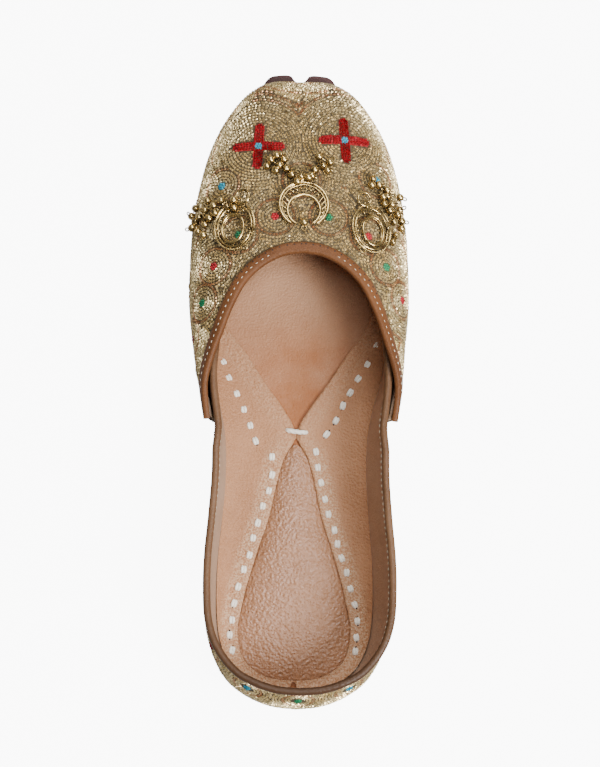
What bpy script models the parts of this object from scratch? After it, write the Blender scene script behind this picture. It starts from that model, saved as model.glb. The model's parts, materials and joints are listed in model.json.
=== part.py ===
"""Mojari shoe: a flat embroidered slip-on with an open throat, on a thin leather sole.

The toe points along +Y and the shoe stands on the XY plane. The last is straight,
so the right half is worked out and mirrored. Lengths are in millimetres until a
mesh is made.
"""
import math

import bmesh
import bpy
import numpy as np

MM = 0.001

# Overall sizes
LENGTH = 247.6
BALL_WIDTH = 85.0
WAIST_WIDTH = 66.0
HEEL_WIDTH = 71.6
THROAT_RISE = 39.5
COLLAR_RISE = 40.0
THROAT_FROM_TOE = 77.0
TIP_FROM_TOE = 139.2
QUARTER_FRONT_FROM_TOE = 99.2

# Walls and clearances
VAMP_WALL = 2.5
QUARTER_WALL = 2.2
OVERLAP = 0.5
GAP = 0.3
TUCK_LEAD = 14.0  # how far before the side tip the quarter starts to tuck in
TUCK_RUN = 12.0
QUARTER_LEAN = 1.5

# Form of the walls
WALL_FLARE = 4.5
HEEL_BELLY = 5.0
ARCH_POWER = 2.3
STRAIGHT_LEAN = 0.6
TOE_CROWN_LENGTH = 18.5
THROAT_STATIONS = 18
FAN_LEAD = 16.0  # from the throat's middle to the first section square to the shoe

# Sole
SOLE_THICKNESS = 4.5
HEEL_THICKNESS = 6.0
TOE_SPRING = 7.0
SPRING_LENGTH = 64.0
ARCH_RISE = 1.6
SOLE_LEDGE = 0.8
EDGE_STEP = 0.6
NOTCH_WIDTH = 5.0
NOTCH_DEPTH = 2.4
LUG_WIDTH = 25.0

# Footbed
INSOLE_THICKNESS = 1.8
WING_THICKNESS = 1.2
WING_COVE = 2.4
PAD_CROWN = 4.4
PAD_SETBACK = 3.0  # behind the crossing of the wings

# Edge bindings
THROAT_BAND = 4.5
THROAT_BAND_THICKNESS = 2.3
COLLAR_BAND = 2.8

# Charms and bells
CHARM_RADIUS = 9.5
CHARM_THICKNESS = 1.0
CHARM_FROM_TOE = 58.8
SIDE_CHARM_SHARE = 0.609  # of the ball's half width
SIDE_CHARM_BACK = 8.0
BELL_DIAMETER = 3.2
BELL_WIRE = 1.1

HALF = LENGTH / 2
BALL_HALF = BALL_WIDTH / 2 - (VAMP_WALL - OVERLAP)
WAIST_HALF = WAIST_WIDTH / 2
HEEL_HALF = HEEL_WIDTH / 2

# Line of the wall's widest points, from the middle of the toe to the middle of the heel.
# along is a share of half the length, the three widths are shares of their half widths,
# and flare, belly and rise are shares of WALL_FLARE, HEEL_BELLY and COLLAR_RISE.
#    along   ball   waist  heel   flare  belly  rise
WALL_ROWS = (
    (0.948, 0.000, 0.00, 0.000, 0.20, 0.00, 0.08),
    (0.951, 0.155, 0.00, 0.000, 0.20, 0.00, 0.08),
    (0.944, 0.305, 0.00, 0.000, 0.22, 0.00, 0.09),
    (0.920, 0.445, 0.00, 0.000, 0.26, 0.00, 0.11),
    (0.850, 0.632, 0.00, 0.000, 0.32, 0.00, 0.16),
    (0.763, 0.780, 0.00, 0.000, 0.36, 0.00, 0.20),
    (0.655, 0.888, 0.00, 0.000, 0.40, 0.00, 0.24),
    (0.528, 0.962, 0.00, 0.000, 0.42, 0.00, 0.27),
    (0.368, 0.998, 0.00, 0.000, 0.45, 0.00, 0.30),
    (0.247, 1.000, 0.00, 0.000, 0.50, 0.00, 0.34),
    (0.118, 0.700, 0.32, 0.000, 0.62, 0.00, 0.46),
    (0.005, 0.420, 0.61, 0.000, 0.78, 0.00, 0.63),
    (-0.084, 0.150, 0.87, 0.000, 0.92, 0.00, 0.77),
    (-0.167, 0.000, 1.01, 0.000, 1.00, 0.00, 0.835),
    (-0.278, 0.000, 1.00, 0.000, 1.02, 0.00, 0.84),
    (-0.423, 0.000, 0.50, 0.495, 1.02, 0.05, 0.86),
    (-0.544, 0.000, 0.15, 0.855, 1.00, 0.10, 0.89),
    (-0.641, 0.000, 0.00, 1.000, 0.96, 0.14, 0.92),
    (-0.738, 0.000, 0.00, 0.976, 0.84, 0.20, 0.95),
    (-0.801, 0.000, 0.00, 0.912, 0.60, 0.32, 0.97),
    (-0.853, 0.000, 0.00, 0.806, 0.30, 0.50, 0.98),
    (-0.900, 0.000, 0.00, 0.650, 0.00, 0.72, 0.99),
    (-0.927, 0.000, 0.00, 0.478, -0.20, 0.86, 1.00),
    (-0.949, 0.000, 0.00, 0.240, -0.34, 0.96, 1.00),
    (-0.955, 0.000, 0.00, 0.000, -0.40, 1.00, 1.00),
)

# Crown line of the last over the instep: along as above, rise as a share of THROAT_RISE.
#    along   rise
RIDGE_ROWS = (
    (1.000, 0.20),
    (0.813, 0.53),
    (0.732, 0.67),
    (0.651, 0.78),
    (0.570, 0.87),
    (0.489, 0.94),
    (0.378, 1.00),
    (0.166, 1.14),
    (-0.126, 1.30),
    (-1.000, 1.60),
)

# Edge of the throat: back is the share of the way from its middle to the side tip,
# and up is the place on the wall, from 0 at its widest line to 1 at the crown.
#    back   up
THROAT_ROWS = (
    (0.000, 1.000),
    (0.015, 0.920),
    (0.060, 0.830),
    (0.170, 0.700),
    (0.325, 0.593),
    (0.495, 0.482),
    (0.640, 0.367),
    (0.815, 0.190),
    (1.000, 0.020),
)

# Inner edge of a footbed wing: along as above, across as a share of WAIST_HALF, and
# round is the share of the way along the footbed's edge that lies opposite.
#    along   across  round
WING_ROWS = (
    (0.257, 0.900, 0.000),
    (0.199, 0.833, 0.030),
    (0.102, 0.585, 0.085),
    (0.005, 0.348, 0.150),
    (-0.068, 0.152, 0.205),
    (-0.137, 0.021, 0.255),
    (-0.165, 0.021, 0.280),
    (-0.221, 0.130, 0.325),
    (-0.294, 0.210, 0.375),
    (-0.407, 0.303, 0.450),
    (-0.520, 0.440, 0.530),
    (-0.674, 0.600, 0.640),
    (-0.779, 0.655, 0.725),
    (-0.855, 0.575, 0.805),
    (-0.897, 0.390, 0.880),
    (-0.912, 0.200, 0.945),
    (-0.916, 0.012, 0.990),
)

# Bells, in charm radii from the middle of their charm, in the order of their wire.
#    across  along
CENTRE_BELLS = (
    (-1.42, 1.58), (-0.78, 1.98), (-0.92, 1.36), (-0.05, 1.30),
    (0.92, 1.40), (0.74, 1.98), (1.30, 1.74),
)
SIDE_BELLS = (
    (-0.10, 1.34), (0.44, 1.40), (0.98, 1.28), (1.38, 0.92), (1.58, 0.40), (1.46, -0.12),
)


def smooth_step(value):
    """Ease from 0 to 1, level at both ends."""
    share = np.clip(value, 0.0, 1.0)
    return share * share * (3 - 2 * share)


def spline(places, values, at):
    """Cubic through the given values, with slopes taken from the neighbouring rows."""
    places = np.asarray(places, float)
    values = np.asarray(values, float)
    slopes = np.gradient(values, places)
    at = np.clip(at, places[0], places[-1])
    low = np.clip(np.searchsorted(places, at, side="right") - 1, 0, len(places) - 2)
    span = places[low + 1] - places[low]
    share = (at - places[low]) / span
    square, cube = share ** 2, share ** 3
    start = (2 * cube - 3 * square + 1) * values[low] + (cube - 2 * square + share) * span * slopes[low]
    end = (3 * square - 2 * cube) * values[low + 1] + (cube - square) * span * slopes[low + 1]
    return start + end


def chord_places(points):
    """Distance run along a row of points."""
    steps = np.linalg.norm(np.diff(points, axis=0), axis=1)
    return np.concatenate(([0.0], np.cumsum(steps)))


def sole_bottom(y):
    """Underside: level at heel and ball, raised a little at the arch, sprung at the toe."""
    arch = np.clip((y + 0.50 * HALF) / (0.66 * HALF), 0.0, 1.0)
    spring = np.clip((y - HALF + SPRING_LENGTH) / SPRING_LENGTH, 0.0, None)
    return ARCH_RISE * np.sin(math.pi * arch) ** 2 + TOE_SPRING * spring ** 2


def sole_top(y):
    """Upper side of the sole, which is thicker under the heel."""
    heel = smooth_step((-y - 0.05 * HALF) / (0.45 * HALF))
    return sole_bottom(y) + SOLE_THICKNESS + (HEEL_THICKNESS - SOLE_THICKNESS) * heel


WALL = np.array(WALL_ROWS)
WALL_POINTS = np.stack([
    WALL[:, 1] * BALL_HALF + WALL[:, 2] * WAIST_HALF + WALL[:, 3] * HEEL_HALF,
    WALL[:, 0] * HALF,
], axis=1)
WALL_PLACES = chord_places(WALL_POINTS)
WALL_RUN = WALL_PLACES[-1]


def wall_line(s):
    """Widest line at distance s from the toe: x, y, outward normal and the rows' shares."""
    def place(at):
        return np.stack([spline(WALL_PLACES, WALL_POINTS[:, k], at) for k in (0, 1)], axis=-1)
    step = 0.5
    back, ahead = np.clip(s - step, 0, WALL_RUN), np.clip(s + step, 0, WALL_RUN)
    run = place(ahead) - place(back)
    run[..., 1] = np.where((s < step) | (s > WALL_RUN - step), 0.0, run[..., 1])
    run /= np.linalg.norm(run, axis=-1, keepdims=True)
    normal = np.stack([-run[..., 1], run[..., 0]], axis=-1)
    flare, belly, rise = (spline(WALL_PLACES, WALL[:, k], s) for k in (4, 5, 6))
    return place(s), normal, flare * WALL_FLARE, belly * HEEL_BELLY, rise * COLLAR_RISE


DENSE_S = np.linspace(0, WALL_RUN, 1200)
DENSE_Y = wall_line(DENSE_S)[0][:, 1]
SIDE_START = int(np.argmax(DENSE_Y)) + 1
FAN_END_Y = HALF - THROAT_FROM_TOE + FAN_LEAD


def station_at(y):
    """Distance along the widest line at which the side of the shoe has this y."""
    return np.interp(-np.asarray(y, float), -DENSE_Y[SIDE_START:], DENSE_S[SIDE_START:])


FAN_RUN = float(station_at(FAN_END_Y))
RIDGE_FRONT = WALL_POINTS[0, 1] - TOE_CROWN_LENGTH


def ridge_y(s):
    """Where the section from station s meets the crown line. The toe's sections fan out."""
    side = wall_line(s)[0][..., 1]
    fan = RIDGE_FRONT + (FAN_END_Y - RIDGE_FRONT) * s / FAN_RUN
    return np.where(s < FAN_RUN, fan, side)


def ridge_height(y):
    """Height of the crown line above the floor."""
    rows = np.array(RIDGE_ROWS)[::-1]
    return sole_top(y) + GAP + THROAT_RISE * spline(rows[:, 0], rows[:, 1], y / HALF)


def last(s, up):
    """Point on the last: up runs 0 at the sole, 1 at the widest line, 2 at the crown.

    Below the widest line the wall leans out as a quarter sine, straighter where it
    ends in a rim, and the heel adds a belly. Above it the section is a superellipse between the widest point and the crown,
    tilted so that it meets the crown line at that line's own slope.
    """
    s, up = np.broadcast_arrays(np.asarray(s, float), np.asarray(up, float))
    wide, normal, flare, belly, rise = wall_line(s)
    foot = wide - normal * flare[..., None]
    low = np.clip(up, 0, 1)
    straight = STRAIGHT_LEAN * smooth_step((rise / COLLAR_RISE - 0.45) / 0.3)
    lean = ((1 - straight) * np.sin(low * math.pi / 2) + straight * low)[..., None]
    plan = foot + (wide - foot) * lean + normal * (belly * np.sin(math.pi * low))[..., None]
    base = sole_top(wide[..., 1]) + GAP
    height = base + rise * low
    angle = np.clip(up - 1, 0, 1) * math.pi / 2
    crown_y = ridge_y(s)
    crown = np.stack([np.zeros_like(crown_y), crown_y], axis=-1)
    in_share = np.clip(np.cos(angle), 0, 1) ** (2 / ARCH_POWER)
    up_share = np.sin(angle) ** (2 / ARCH_POWER)
    over = up > 1
    plan = np.where(over[..., None], crown + (wide - crown) * in_share[..., None], plan)
    slope = (ridge_height(crown_y + 0.5) - ridge_height(crown_y - 0.5)) * in_share * (1 - in_share)
    arch = (ridge_height(crown_y) - base - rise) * up_share + slope * (wide[..., 1] - crown_y)
    height = np.where(over, base + rise + arch, height)
    return np.concatenate([plan, height[..., None]], axis=-1)


def slopes(s, up):
    """Change of the last's point with s and with up."""
    ds, du = 0.4, 0.004
    up = np.clip(up, 0.004, 1.992)
    along = last(np.clip(s + ds, 0, WALL_RUN), up) - last(np.clip(s - ds, 0, WALL_RUN), up)
    return along / (2 * ds), (last(s, up + du) - last(s, up - du)) / (2 * du)


def skin_normal(s, up):
    """Outward normal of the last."""
    s, up = np.broadcast_arrays(np.asarray(s, float), np.asarray(up, float))
    along, round_ = slopes(s, up)
    normal = np.cross(round_, along)
    normal[..., 0] = np.where((s < 1e-6) | (s > WALL_RUN - 1e-6) | (up > 1.9999), 0.0, normal[..., 0])
    return normal / np.linalg.norm(normal, axis=-1, keepdims=True)


def skin(s, up, offset):
    """Point a given distance outside the last, level with the sole at its foot."""
    point = last(s, up)
    normal = skin_normal(s, up).copy()
    foot = np.broadcast_to(np.asarray(up, float), point.shape[:-1]) < 1e-6
    normal[..., 2] = np.where(foot, 0.0, normal[..., 2])
    normal /= np.linalg.norm(normal, axis=-1, keepdims=True)
    return point + normal * np.asarray(offset, float)[..., None]


def walk(s, up, distance):
    """Move on the last away from the throat, square to its edge."""
    s, up = s.copy(), up.copy()
    steps = 6
    for _ in range(steps):
        along, round_ = slopes(s, up)
        edge = np.gradient(last(s, up), axis=0)
        edge[0] = (1.0, 0.0, 0.0)
        edge /= np.linalg.norm(edge, axis=-1, keepdims=True)
        away = np.cross(skin_normal(s, up), edge)
        away[0, 0] = 0.0
        move = away * distance / steps
        for k in range(1, len(s)):
            frame = np.stack([along[k], round_[k]], axis=1)
            change = np.linalg.lstsq(frame, move[k], rcond=None)[0]
            s[k] += change[0]
            up[k] += change[1]
        y = last(s[:1], up[:1])[0, 1] + move[0, 1]
        s[0] = np.interp(-y, -ridge_y(DENSE_S), DENSE_S)
    return s, np.clip(up, 0, 2)


def throat_edge(count):
    """Stations and places on the wall along the throat, from its middle to the side tip."""
    rows = np.array(THROAT_ROWS)
    middle_y, tip_y = HALF - THROAT_FROM_TOE, HALF - TIP_FROM_TOE
    y = middle_y + (tip_y - middle_y) * rows[:, 0]
    places = chord_places(last(station_at(y), 1 + rows[:, 1]))
    at = np.linspace(0, places[-1], count)
    y_at = spline(places, y, at)
    up_at = 1 + spline(places, rows[:, 1], at)
    up_at[0] = 2.0
    return station_at(y_at), up_at


def material(name, colour, roughness, metallic=0.0):
    """Principled material."""
    made = bpy.data.materials.new(name)
    made.use_nodes = True
    shader = made.node_tree.nodes["Principled BSDF"]
    shader.inputs["Base Color"].default_value = (*colour, 1.0)
    shader.inputs["Roughness"].default_value = roughness
    shader.inputs["Metallic"].default_value = metallic
    return made


def grid_faces(rows, columns, start=0, wrap=False):
    """Quads of a grid whose points are numbered row by row."""
    around = columns if wrap else columns - 1
    return [
        (start + i * columns + j, start + (i + 1) * columns + j,
         start + (i + 1) * columns + (j + 1) % columns, start + i * columns + (j + 1) % columns)
        for i in range(rows - 1) for j in range(around)
    ]


def make(name, points, faces, finish, mirrored=True, sharp=50.0):
    """Object from points in millimetres, with its mirrored half welded on at X = 0."""
    mesh = bpy.data.meshes.new(name)
    work = bmesh.new()
    points = np.asarray(points, float) * MM
    sides = (1.0, -1.0) if mirrored else (1.0,)
    for side in sides:
        corners = [work.verts.new((x * side, y, z)) for x, y, z in points]
        for face in faces:
            work.faces.new([corners[k] for k in face])
    bmesh.ops.remove_doubles(work, verts=work.verts, dist=1e-6)
    bmesh.ops.dissolve_degenerate(work, edges=work.edges, dist=1e-6)
    bmesh.ops.triangulate(work, faces=work.faces)
    bmesh.ops.recalc_face_normals(work, faces=work.faces)
    work.to_mesh(mesh)
    work.free()
    mesh.shade_smooth()
    mesh.set_sharp_from_angle(angle=math.radians(sharp))
    mesh.materials.append(finish)
    made = bpy.data.objects.new(name, mesh)
    bpy.context.scene.collection.objects.link(made)
    return made


def wall_faces(rows, columns, free_top, ends):
    """Faces of a wall between an outer and an inner grid, with its free edges closed.

    free_top is the first row whose last column is an edge, and ends lists the end rows
    that are edges.
    """
    inner = rows * columns
    faces = grid_faces(rows, columns) + [face[::-1] for face in grid_faces(rows, columns, inner)]
    for i in range(rows - 1):
        a, b = i * columns, (i + 1) * columns
        faces.append((a, inner + a, inner + b, b))
        if i >= free_top:
            a, b = a + columns - 1, b + columns - 1
            faces.append((a, b, inner + b, inner + a))
    for i in ends:
        for j in range(columns - 1):
            a = i * columns + j
            faces.append((a, a + 1, inner + a + 1, inner + a))
    return faces


def spread(low, high, shares):
    """Places between low and high for each row."""
    return low[:, None] + (high - low)[:, None] * np.asarray(shares)[None, :]


def make_vamp(finish):
    """Front of the upper: from the toe to the throat and the two side tips."""
    edge_s, edge_up = throat_edge(THROAT_STATIONS)
    edge_s, edge_up = walk(edge_s, edge_up, THROAT_BAND + GAP)
    toe_run = (0, 0.05, 0.10, 0.145, 0.19, 0.24, 0.30, 0.38, 0.48, 0.60, 0.72, 0.84, 0.93)
    toe_s = np.asarray(toe_run) * edge_s[0]
    stations = np.concatenate([toe_s, edge_s])
    top = np.concatenate([np.full(len(toe_s), 2.0), edge_up])
    shares = (0.0, 0.15, 0.30, 0.45, 0.56, 0.67, 0.78, 0.89, 1.0)
    up = spread(np.zeros_like(top), top, shares)
    s = np.repeat(stations[:, None], len(shares), axis=1)
    outer = skin(s, up, np.full(s.shape, VAMP_WALL - OVERLAP))
    inner = skin(s, up, np.full(s.shape, -OVERLAP))
    inner[:len(toe_s) + 1, -1, 0] = outer[:len(toe_s) + 1, -1, 0] = 0.0
    points = np.concatenate([outer.reshape(-1, 3), inner.reshape(-1, 3)])
    faces = wall_faces(len(stations), len(shares), len(toe_s), (len(stations) - 1,))
    return make("vamp", points, faces, finish)


def rim_place(s):
    """Place on the wall at which the quarter's rim stands, in front under the vamp too."""
    wide, _, _, _, rise = wall_line(s)
    base = sole_top(wide[:, 1]) + GAP
    tip_rise = float(wall_line(station_at(HALF - TIP_FROM_TOE))[4])
    crown = ridge_height(ridge_y(s)) - base - rise
    over = np.clip((tip_rise - rise) / crown, 0.0, 1.0)
    front = wide[:, 1] > HALF - TIP_FROM_TOE
    return np.where(front, 1 + np.arcsin(over ** (ARCH_POWER / 2)) * 2 / math.pi, 1.0)


def under_vamp(s):
    """Share by which a station lies under the vamp's sides, 0 at the back, 1 in front."""
    return smooth_step((wall_line(s)[0][:, 1] - HALF + TIP_FROM_TOE + TUCK_LEAD - 1) / TUCK_RUN)


def quarter_stations():
    """Stations of the quarter, from its front end under the vamp to the heel's middle."""
    front = float(station_at(HALF - QUARTER_FRONT_FROM_TOE))
    shares = np.concatenate([np.linspace(0, 0.62, 13), np.linspace(0.66, 1.0, 11)])
    return front + (WALL_RUN - front) * shares


def make_quarter(finish):
    """Back of the upper: both sides and the heel in one wall, tucked inside the vamp."""
    stations = quarter_stations()
    tucked = under_vamp(stations)
    top = rim_place(stations)
    shares = np.array((0.0, 0.2, 0.4, 0.6, 0.8, 1.0))
    up = spread(0.012 * tucked, top, shares)
    s = np.repeat(stations[:, None], len(shares), axis=1)
    lean = -QUARTER_LEAN * tucked[:, None] * shares[None, :] ** 1.5
    outer = skin(s, up, lean)
    inner = skin(s, up, lean - QUARTER_WALL)
    inner[-1, :, 0] = outer[-1, :, 0] = 0.0
    points = np.concatenate([outer.reshape(-1, 3), inner.reshape(-1, 3)])
    faces = wall_faces(len(stations), len(shares), 0, (0,))
    return make("quarter", points, faces, finish)


def make_upper(finish):
    """Vamp and quarter, sewn together at the sides, as one hollow wall."""
    upper = make_vamp(finish)
    upper.name = upper.data.name = "upper"
    quarter = make_quarter(finish)
    quarter.hide_render = True
    quarter.display_type = "WIRE"
    join = upper.modifiers.new("side seams", "BOOLEAN")
    join.operation = "UNION"
    join.solver = "EXACT"
    join.object = quarter


def ring_strip(name, rings, finish, cap_ends):
    """Strip swept through closed rings of points, mirrored at X = 0."""
    rows, around = rings.shape[:2]
    faces = grid_faces(rows, around, wrap=True)
    faces += [tuple(i * around + j for j in range(around)) for i in cap_ends]
    make(name, rings.reshape(-1, 3), faces, finish)


def make_throat_binding(finish):
    """Leather band round the throat, laid edge to edge with the vamp."""
    s, up = throat_edge(THROAT_STATIONS)
    # Across the band from its free edge, and out from the last, as shares.
    profile = ((0.0, 0.45), (0.10, 0.88), (0.38, 1.0), (0.80, 1.0), (1.0, 0.80), (1.0, 0.0), (0.5, 0.0), (0.05, 0.0))
    narrow = np.ones(len(s))
    narrow[-3:] = (0.94, 0.80, 0.42)
    rings = []
    for across, out in profile:
        band_s, band_up = walk(s, up, THROAT_BAND * across)
        band_s = s + (band_s - s) * narrow
        band_up = up + (band_up - up) * narrow
        offset = np.full(len(s), GAP + THROAT_BAND_THICKNESS * out)
        points = skin(band_s, band_up, offset)
        points[0, 0] = 0.0
        rings.append(points)
    ring_strip("throat_binding", np.stack(rings, axis=1), finish, (len(s) - 1,))


def make_collar_binding(finish):
    """Rolled leather rim that stands on the quarter's edge."""
    stations = quarter_stations()
    top = rim_place(stations)
    lean = -QUARTER_LEAN * under_vamp(stations)
    middle = skin(stations, top, lean - QUARTER_WALL / 2)
    out = skin_normal(stations, top)
    up = slopes(stations, np.minimum(top, 1.99))[1]
    up /= np.linalg.norm(up, axis=-1, keepdims=True)
    half_width = QUARTER_WALL / 2 + 0.25
    half_height = COLLAR_BAND / 2
    rings = []
    for k in range(8):
        angle = 2 * math.pi * (k + 0.5) / 8
        reach = out * half_width * math.cos(angle) / math.cos(math.pi / 8)
        lift = up * (GAP + half_height * (1 + math.sin(angle) / math.cos(math.pi / 8)))
        points = middle + reach + lift
        points[-1, 0] = 0.0
        rings.append(points)
    ring_strip("collar_binding", np.stack(rings, axis=1), finish, (0,))


def plate(name, outline, spine, profile, finish, sharp=50.0):
    """Closed plate: each row of the profile is a share of the way out from the spine.

    outline and spine are points in plan, and a profile row holds the share, an inset
    from the outline and the height there as a function of y.
    """
    columns = []
    out = outline - spine
    reach = np.linalg.norm(out, axis=1, keepdims=True)
    for share, inset, height in profile:
        plan = spine + out * share - out / reach * inset
        if share == 0:
            plan[:, 0] = 0.0
        plan[0, 0] = plan[-1, 0] = 0.0
        columns.append(np.column_stack([plan, height(plan[:, 1])]))
    points = np.stack(columns, axis=1)
    make(name, points.reshape(-1, 3), grid_faces(*points.shape[:2]), finish, sharp=sharp)


def foot_line(s, outset):
    """The wall's foot in plan, moved outwards."""
    wide, normal, flare, _, _ = wall_line(s)
    return wide + normal * (outset - flare)[:, None]


def make_outsole(finish):
    """Leather sole: two lugs at the toe with a notch between, a stepped edge, a low arch."""
    shares = np.concatenate([np.linspace(0, 0.30, 13), np.linspace(0.34, 0.80, 12), np.linspace(0.835, 1, 9)])
    stations = shares * WALL_RUN
    y = wall_line(stations)[0][:, 1]
    side = smooth_step((y - HALF + TIP_FROM_TOE) / 24)
    outline = foot_line(stations, SOLE_LEDGE + (VAMP_WALL - OVERLAP) * side)
    lug_half, notch_half = LUG_WIDTH / 2, NOTCH_WIDTH / 2
    lug_y = HALF
    lug = np.array([
        (0.0, lug_y - NOTCH_DEPTH), (notch_half * 0.45, lug_y - NOTCH_DEPTH * 0.9),
        (notch_half * 0.9, lug_y - NOTCH_DEPTH * 0.35), (notch_half * 1.35, lug_y - 0.1),
        (lug_half * 0.6, lug_y), (lug_half * 0.86, lug_y - 0.5), (lug_half * 1.02, lug_y - 2.0),
    ])
    keep = (outline[:, 0] > lug_half * 1.15) | (outline[:, 1] < 0)
    outline = np.concatenate([lug, outline[keep]])
    outline = outline[np.r_[True, np.linalg.norm(np.diff(outline, axis=0), axis=1) > 1e-6]]
    run = chord_places(outline)
    run /= run[-1]
    spine = np.column_stack([np.zeros(len(outline)), HALF * (0.86 - 1.72 * run)])

    def top(y):
        return sole_top(y)

    def step(y):
        return sole_top(y) - 0.45 * SOLE_THICKNESS

    def bottom(y):
        return sole_bottom(y)

    def low_edge(y):
        return sole_bottom(y) + 0.7

    profile = (
        (0.0, 0.0, top), (0.55, 0.0, top), (1.0, 0.3, top), (1.0, 0.0, lambda y: top(y) - 0.4),
        (1.0, 0.0, step), (1.0, EDGE_STEP, lambda y: step(y) - 0.3), (1.0, EDGE_STEP, low_edge),
        (1.0, EDGE_STEP + 0.6, bottom), (0.0, 0.0, bottom),
    )
    plate("outsole", outline, spine, profile, finish, sharp=35.0)


def insole_inset(y):
    """Room that the insole leaves for the wall: the vamp's alone in front, the quarter's behind."""
    behind = smooth_step((HALF - QUARTER_FRONT_FROM_TOE + TUCK_LEAD - y) / TUCK_RUN)
    return OVERLAP + GAP + (QUARTER_WALL - OVERLAP) * behind


def insole_edge(s):
    """Edge of the insole in plan."""
    y = wall_line(s)[0][:, 1]
    return foot_line(s, -insole_inset(y))


def insole_top(y):
    return sole_top(y) + GAP + INSOLE_THICKNESS


def make_insole(finish):
    """Leather footbed over the whole length of the sole."""
    stations = np.linspace(0, WALL_RUN, 35)
    outline = insole_edge(stations)
    run = stations / WALL_RUN
    spine = np.column_stack([np.zeros(len(run)), HALF * (0.80 - 1.58 * run)])

    def bottom(y):
        return sole_top(y) + GAP

    profile = (
        (0.0, 0.0, insole_top), (0.6, 0.0, insole_top), (1.0, 0.8, insole_top),
        (1.0, 0.0, lambda y: insole_top(y) - 0.6), (1.0, 0.0, bottom), (0.6, 0.0, bottom), (0.0, 0.0, bottom),
    )
    plate("insole", outline, spine, profile, finish)


def wing_line(count):
    """Inner edge of a wing and the share of the footbed's edge opposite."""
    rows = np.array(WING_ROWS)
    points = np.column_stack([rows[:, 1] * WAIST_HALF, rows[:, 0] * HALF])
    places = chord_places(points)
    at = np.linspace(0, places[-1], count)
    line = np.column_stack([np.maximum(spline(places, points[:, k], at), 0.6) if k == 0
                            else spline(places, points[:, k], at) for k in (0, 1)])
    return line, spline(places, rows[:, 2], at)


def make_wing(name, side, finish):
    """Sewn leather wing on the insole: from under the vamp's side round to the heel's middle."""
    inner_edge, opposite = wing_line(27)
    first = float(station_at(WING_ROWS[0][0] * HALF))
    stations = first + (WALL_RUN - first) * opposite
    outer_edge = insole_edge(stations)
    outer_edge[:, 0] = np.maximum(outer_edge[:, 0], 0.6)
    grids = []
    for lift in (WING_THICKNESS, 0.0):
        columns = []
        for share in (0.0, 0.07, 0.5, 0.8, 1.0):
            plan = inner_edge + (outer_edge - inner_edge) * share
            edge = 0.55 if share == 0 and lift else 0.0
            cove = WING_COVE * share ** 5
            columns.append(np.column_stack([plan, insole_top(plan[:, 1]) + GAP + lift - edge + cove]))
        grids.append(np.stack(columns, axis=1))
    outer, inner = grids
    rows, columns = outer.shape[:2]
    points = np.concatenate([outer.reshape(-1, 3), inner.reshape(-1, 3)]) * (side, 1.0, 1.0)
    faces = wall_faces(rows, columns, 0, (0, rows - 1))
    make(name, points, faces, finish, mirrored=False)


def make_heel_pad(finish):
    """Padded teardrop that fills the opening between the wings."""
    edge = wing_line(40)[0]
    crossing = WING_ROWS[6][0] * HALF
    edge = edge[edge[:, 1] < crossing - PAD_SETBACK]
    clear = GAP + 0.2
    inside = np.column_stack([np.gradient(edge[:, 1]), -np.gradient(edge[:, 0])])
    inside /= np.linalg.norm(inside, axis=1, keepdims=True)
    edge = edge + inside * clear
    edge = edge[edge[:, 0] > 0.9]
    front, back = edge[0, 1] + 1.5, edge[-1, 1] - 0.2
    outline = np.concatenate([[(0.0, front)], edge, [(0.0, back)]])
    run = np.linspace(0, 1, len(outline))
    spine = np.column_stack([np.zeros(len(run)), front + (back - front) * (0.09 + 0.71 * run)])

    def lifted(share):
        def height(y):
            narrow = smooth_step(0.07 + 1.5 * (front - y) / (front - back))
            return insole_top(y) + GAP + 0.5 + (PAD_CROWN - 0.5) * share * (0.35 + 0.65 * narrow)
        return height

    def bottom(y):
        return insole_top(y) + GAP

    profile = (
        (0.0, 0.0, lifted(1.0)), (0.4, 0.0, lifted(0.95)), (0.75, 0.0, lifted(0.72)),
        (0.93, 0.0, lifted(0.38)), (1.0, 0.0, lifted(0.0)), (1.0, 0.0, bottom), (0.0, 0.0, bottom),
    )
    plate("heel_pad", outline, spine, profile, finish)


def seat(origin, axes, across, along):
    """Station and place on the last that lie under a point of a plane, by Newton steps."""
    s, up = float(station_at(min(origin[1] + along, 0.6 * HALF))), 1.6
    for _ in range(40):
        miss = last(s, up) - origin
        error = np.array([miss @ axes[0] - across, miss @ axes[1] - along])
        ds, du = slopes(s, up)
        frame = np.array([[ds @ axes[0], du @ axes[0]], [ds @ axes[1], du @ axes[1]]])
        change = np.linalg.solve(frame, error)
        s = float(np.clip(s - np.clip(change[0], -6, 6), 0.5, WALL_RUN))
        up = float(np.clip(up - np.clip(change[1], -0.2, 0.2), 1.02, 1.999))
    return s, up


def charm_frame(across, y):
    """Middle of a charm on the vamp, and its axes across, along and outwards."""
    level = (np.array((1.0, 0.0, 0.0)), np.array((0.0, 1.0, 0.0)))
    if across == 0:
        s = float(np.interp(-y, -ridge_y(DENSE_S), DENSE_S))
        up = 2.0
    else:
        s, up = seat(np.zeros(3), level, across, y)
    normal = skin_normal(s, up)
    middle = last(s, up)
    side = np.cross(level[1], normal)
    side /= np.linalg.norm(side)
    return middle, side, np.cross(normal, side), normal


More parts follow.
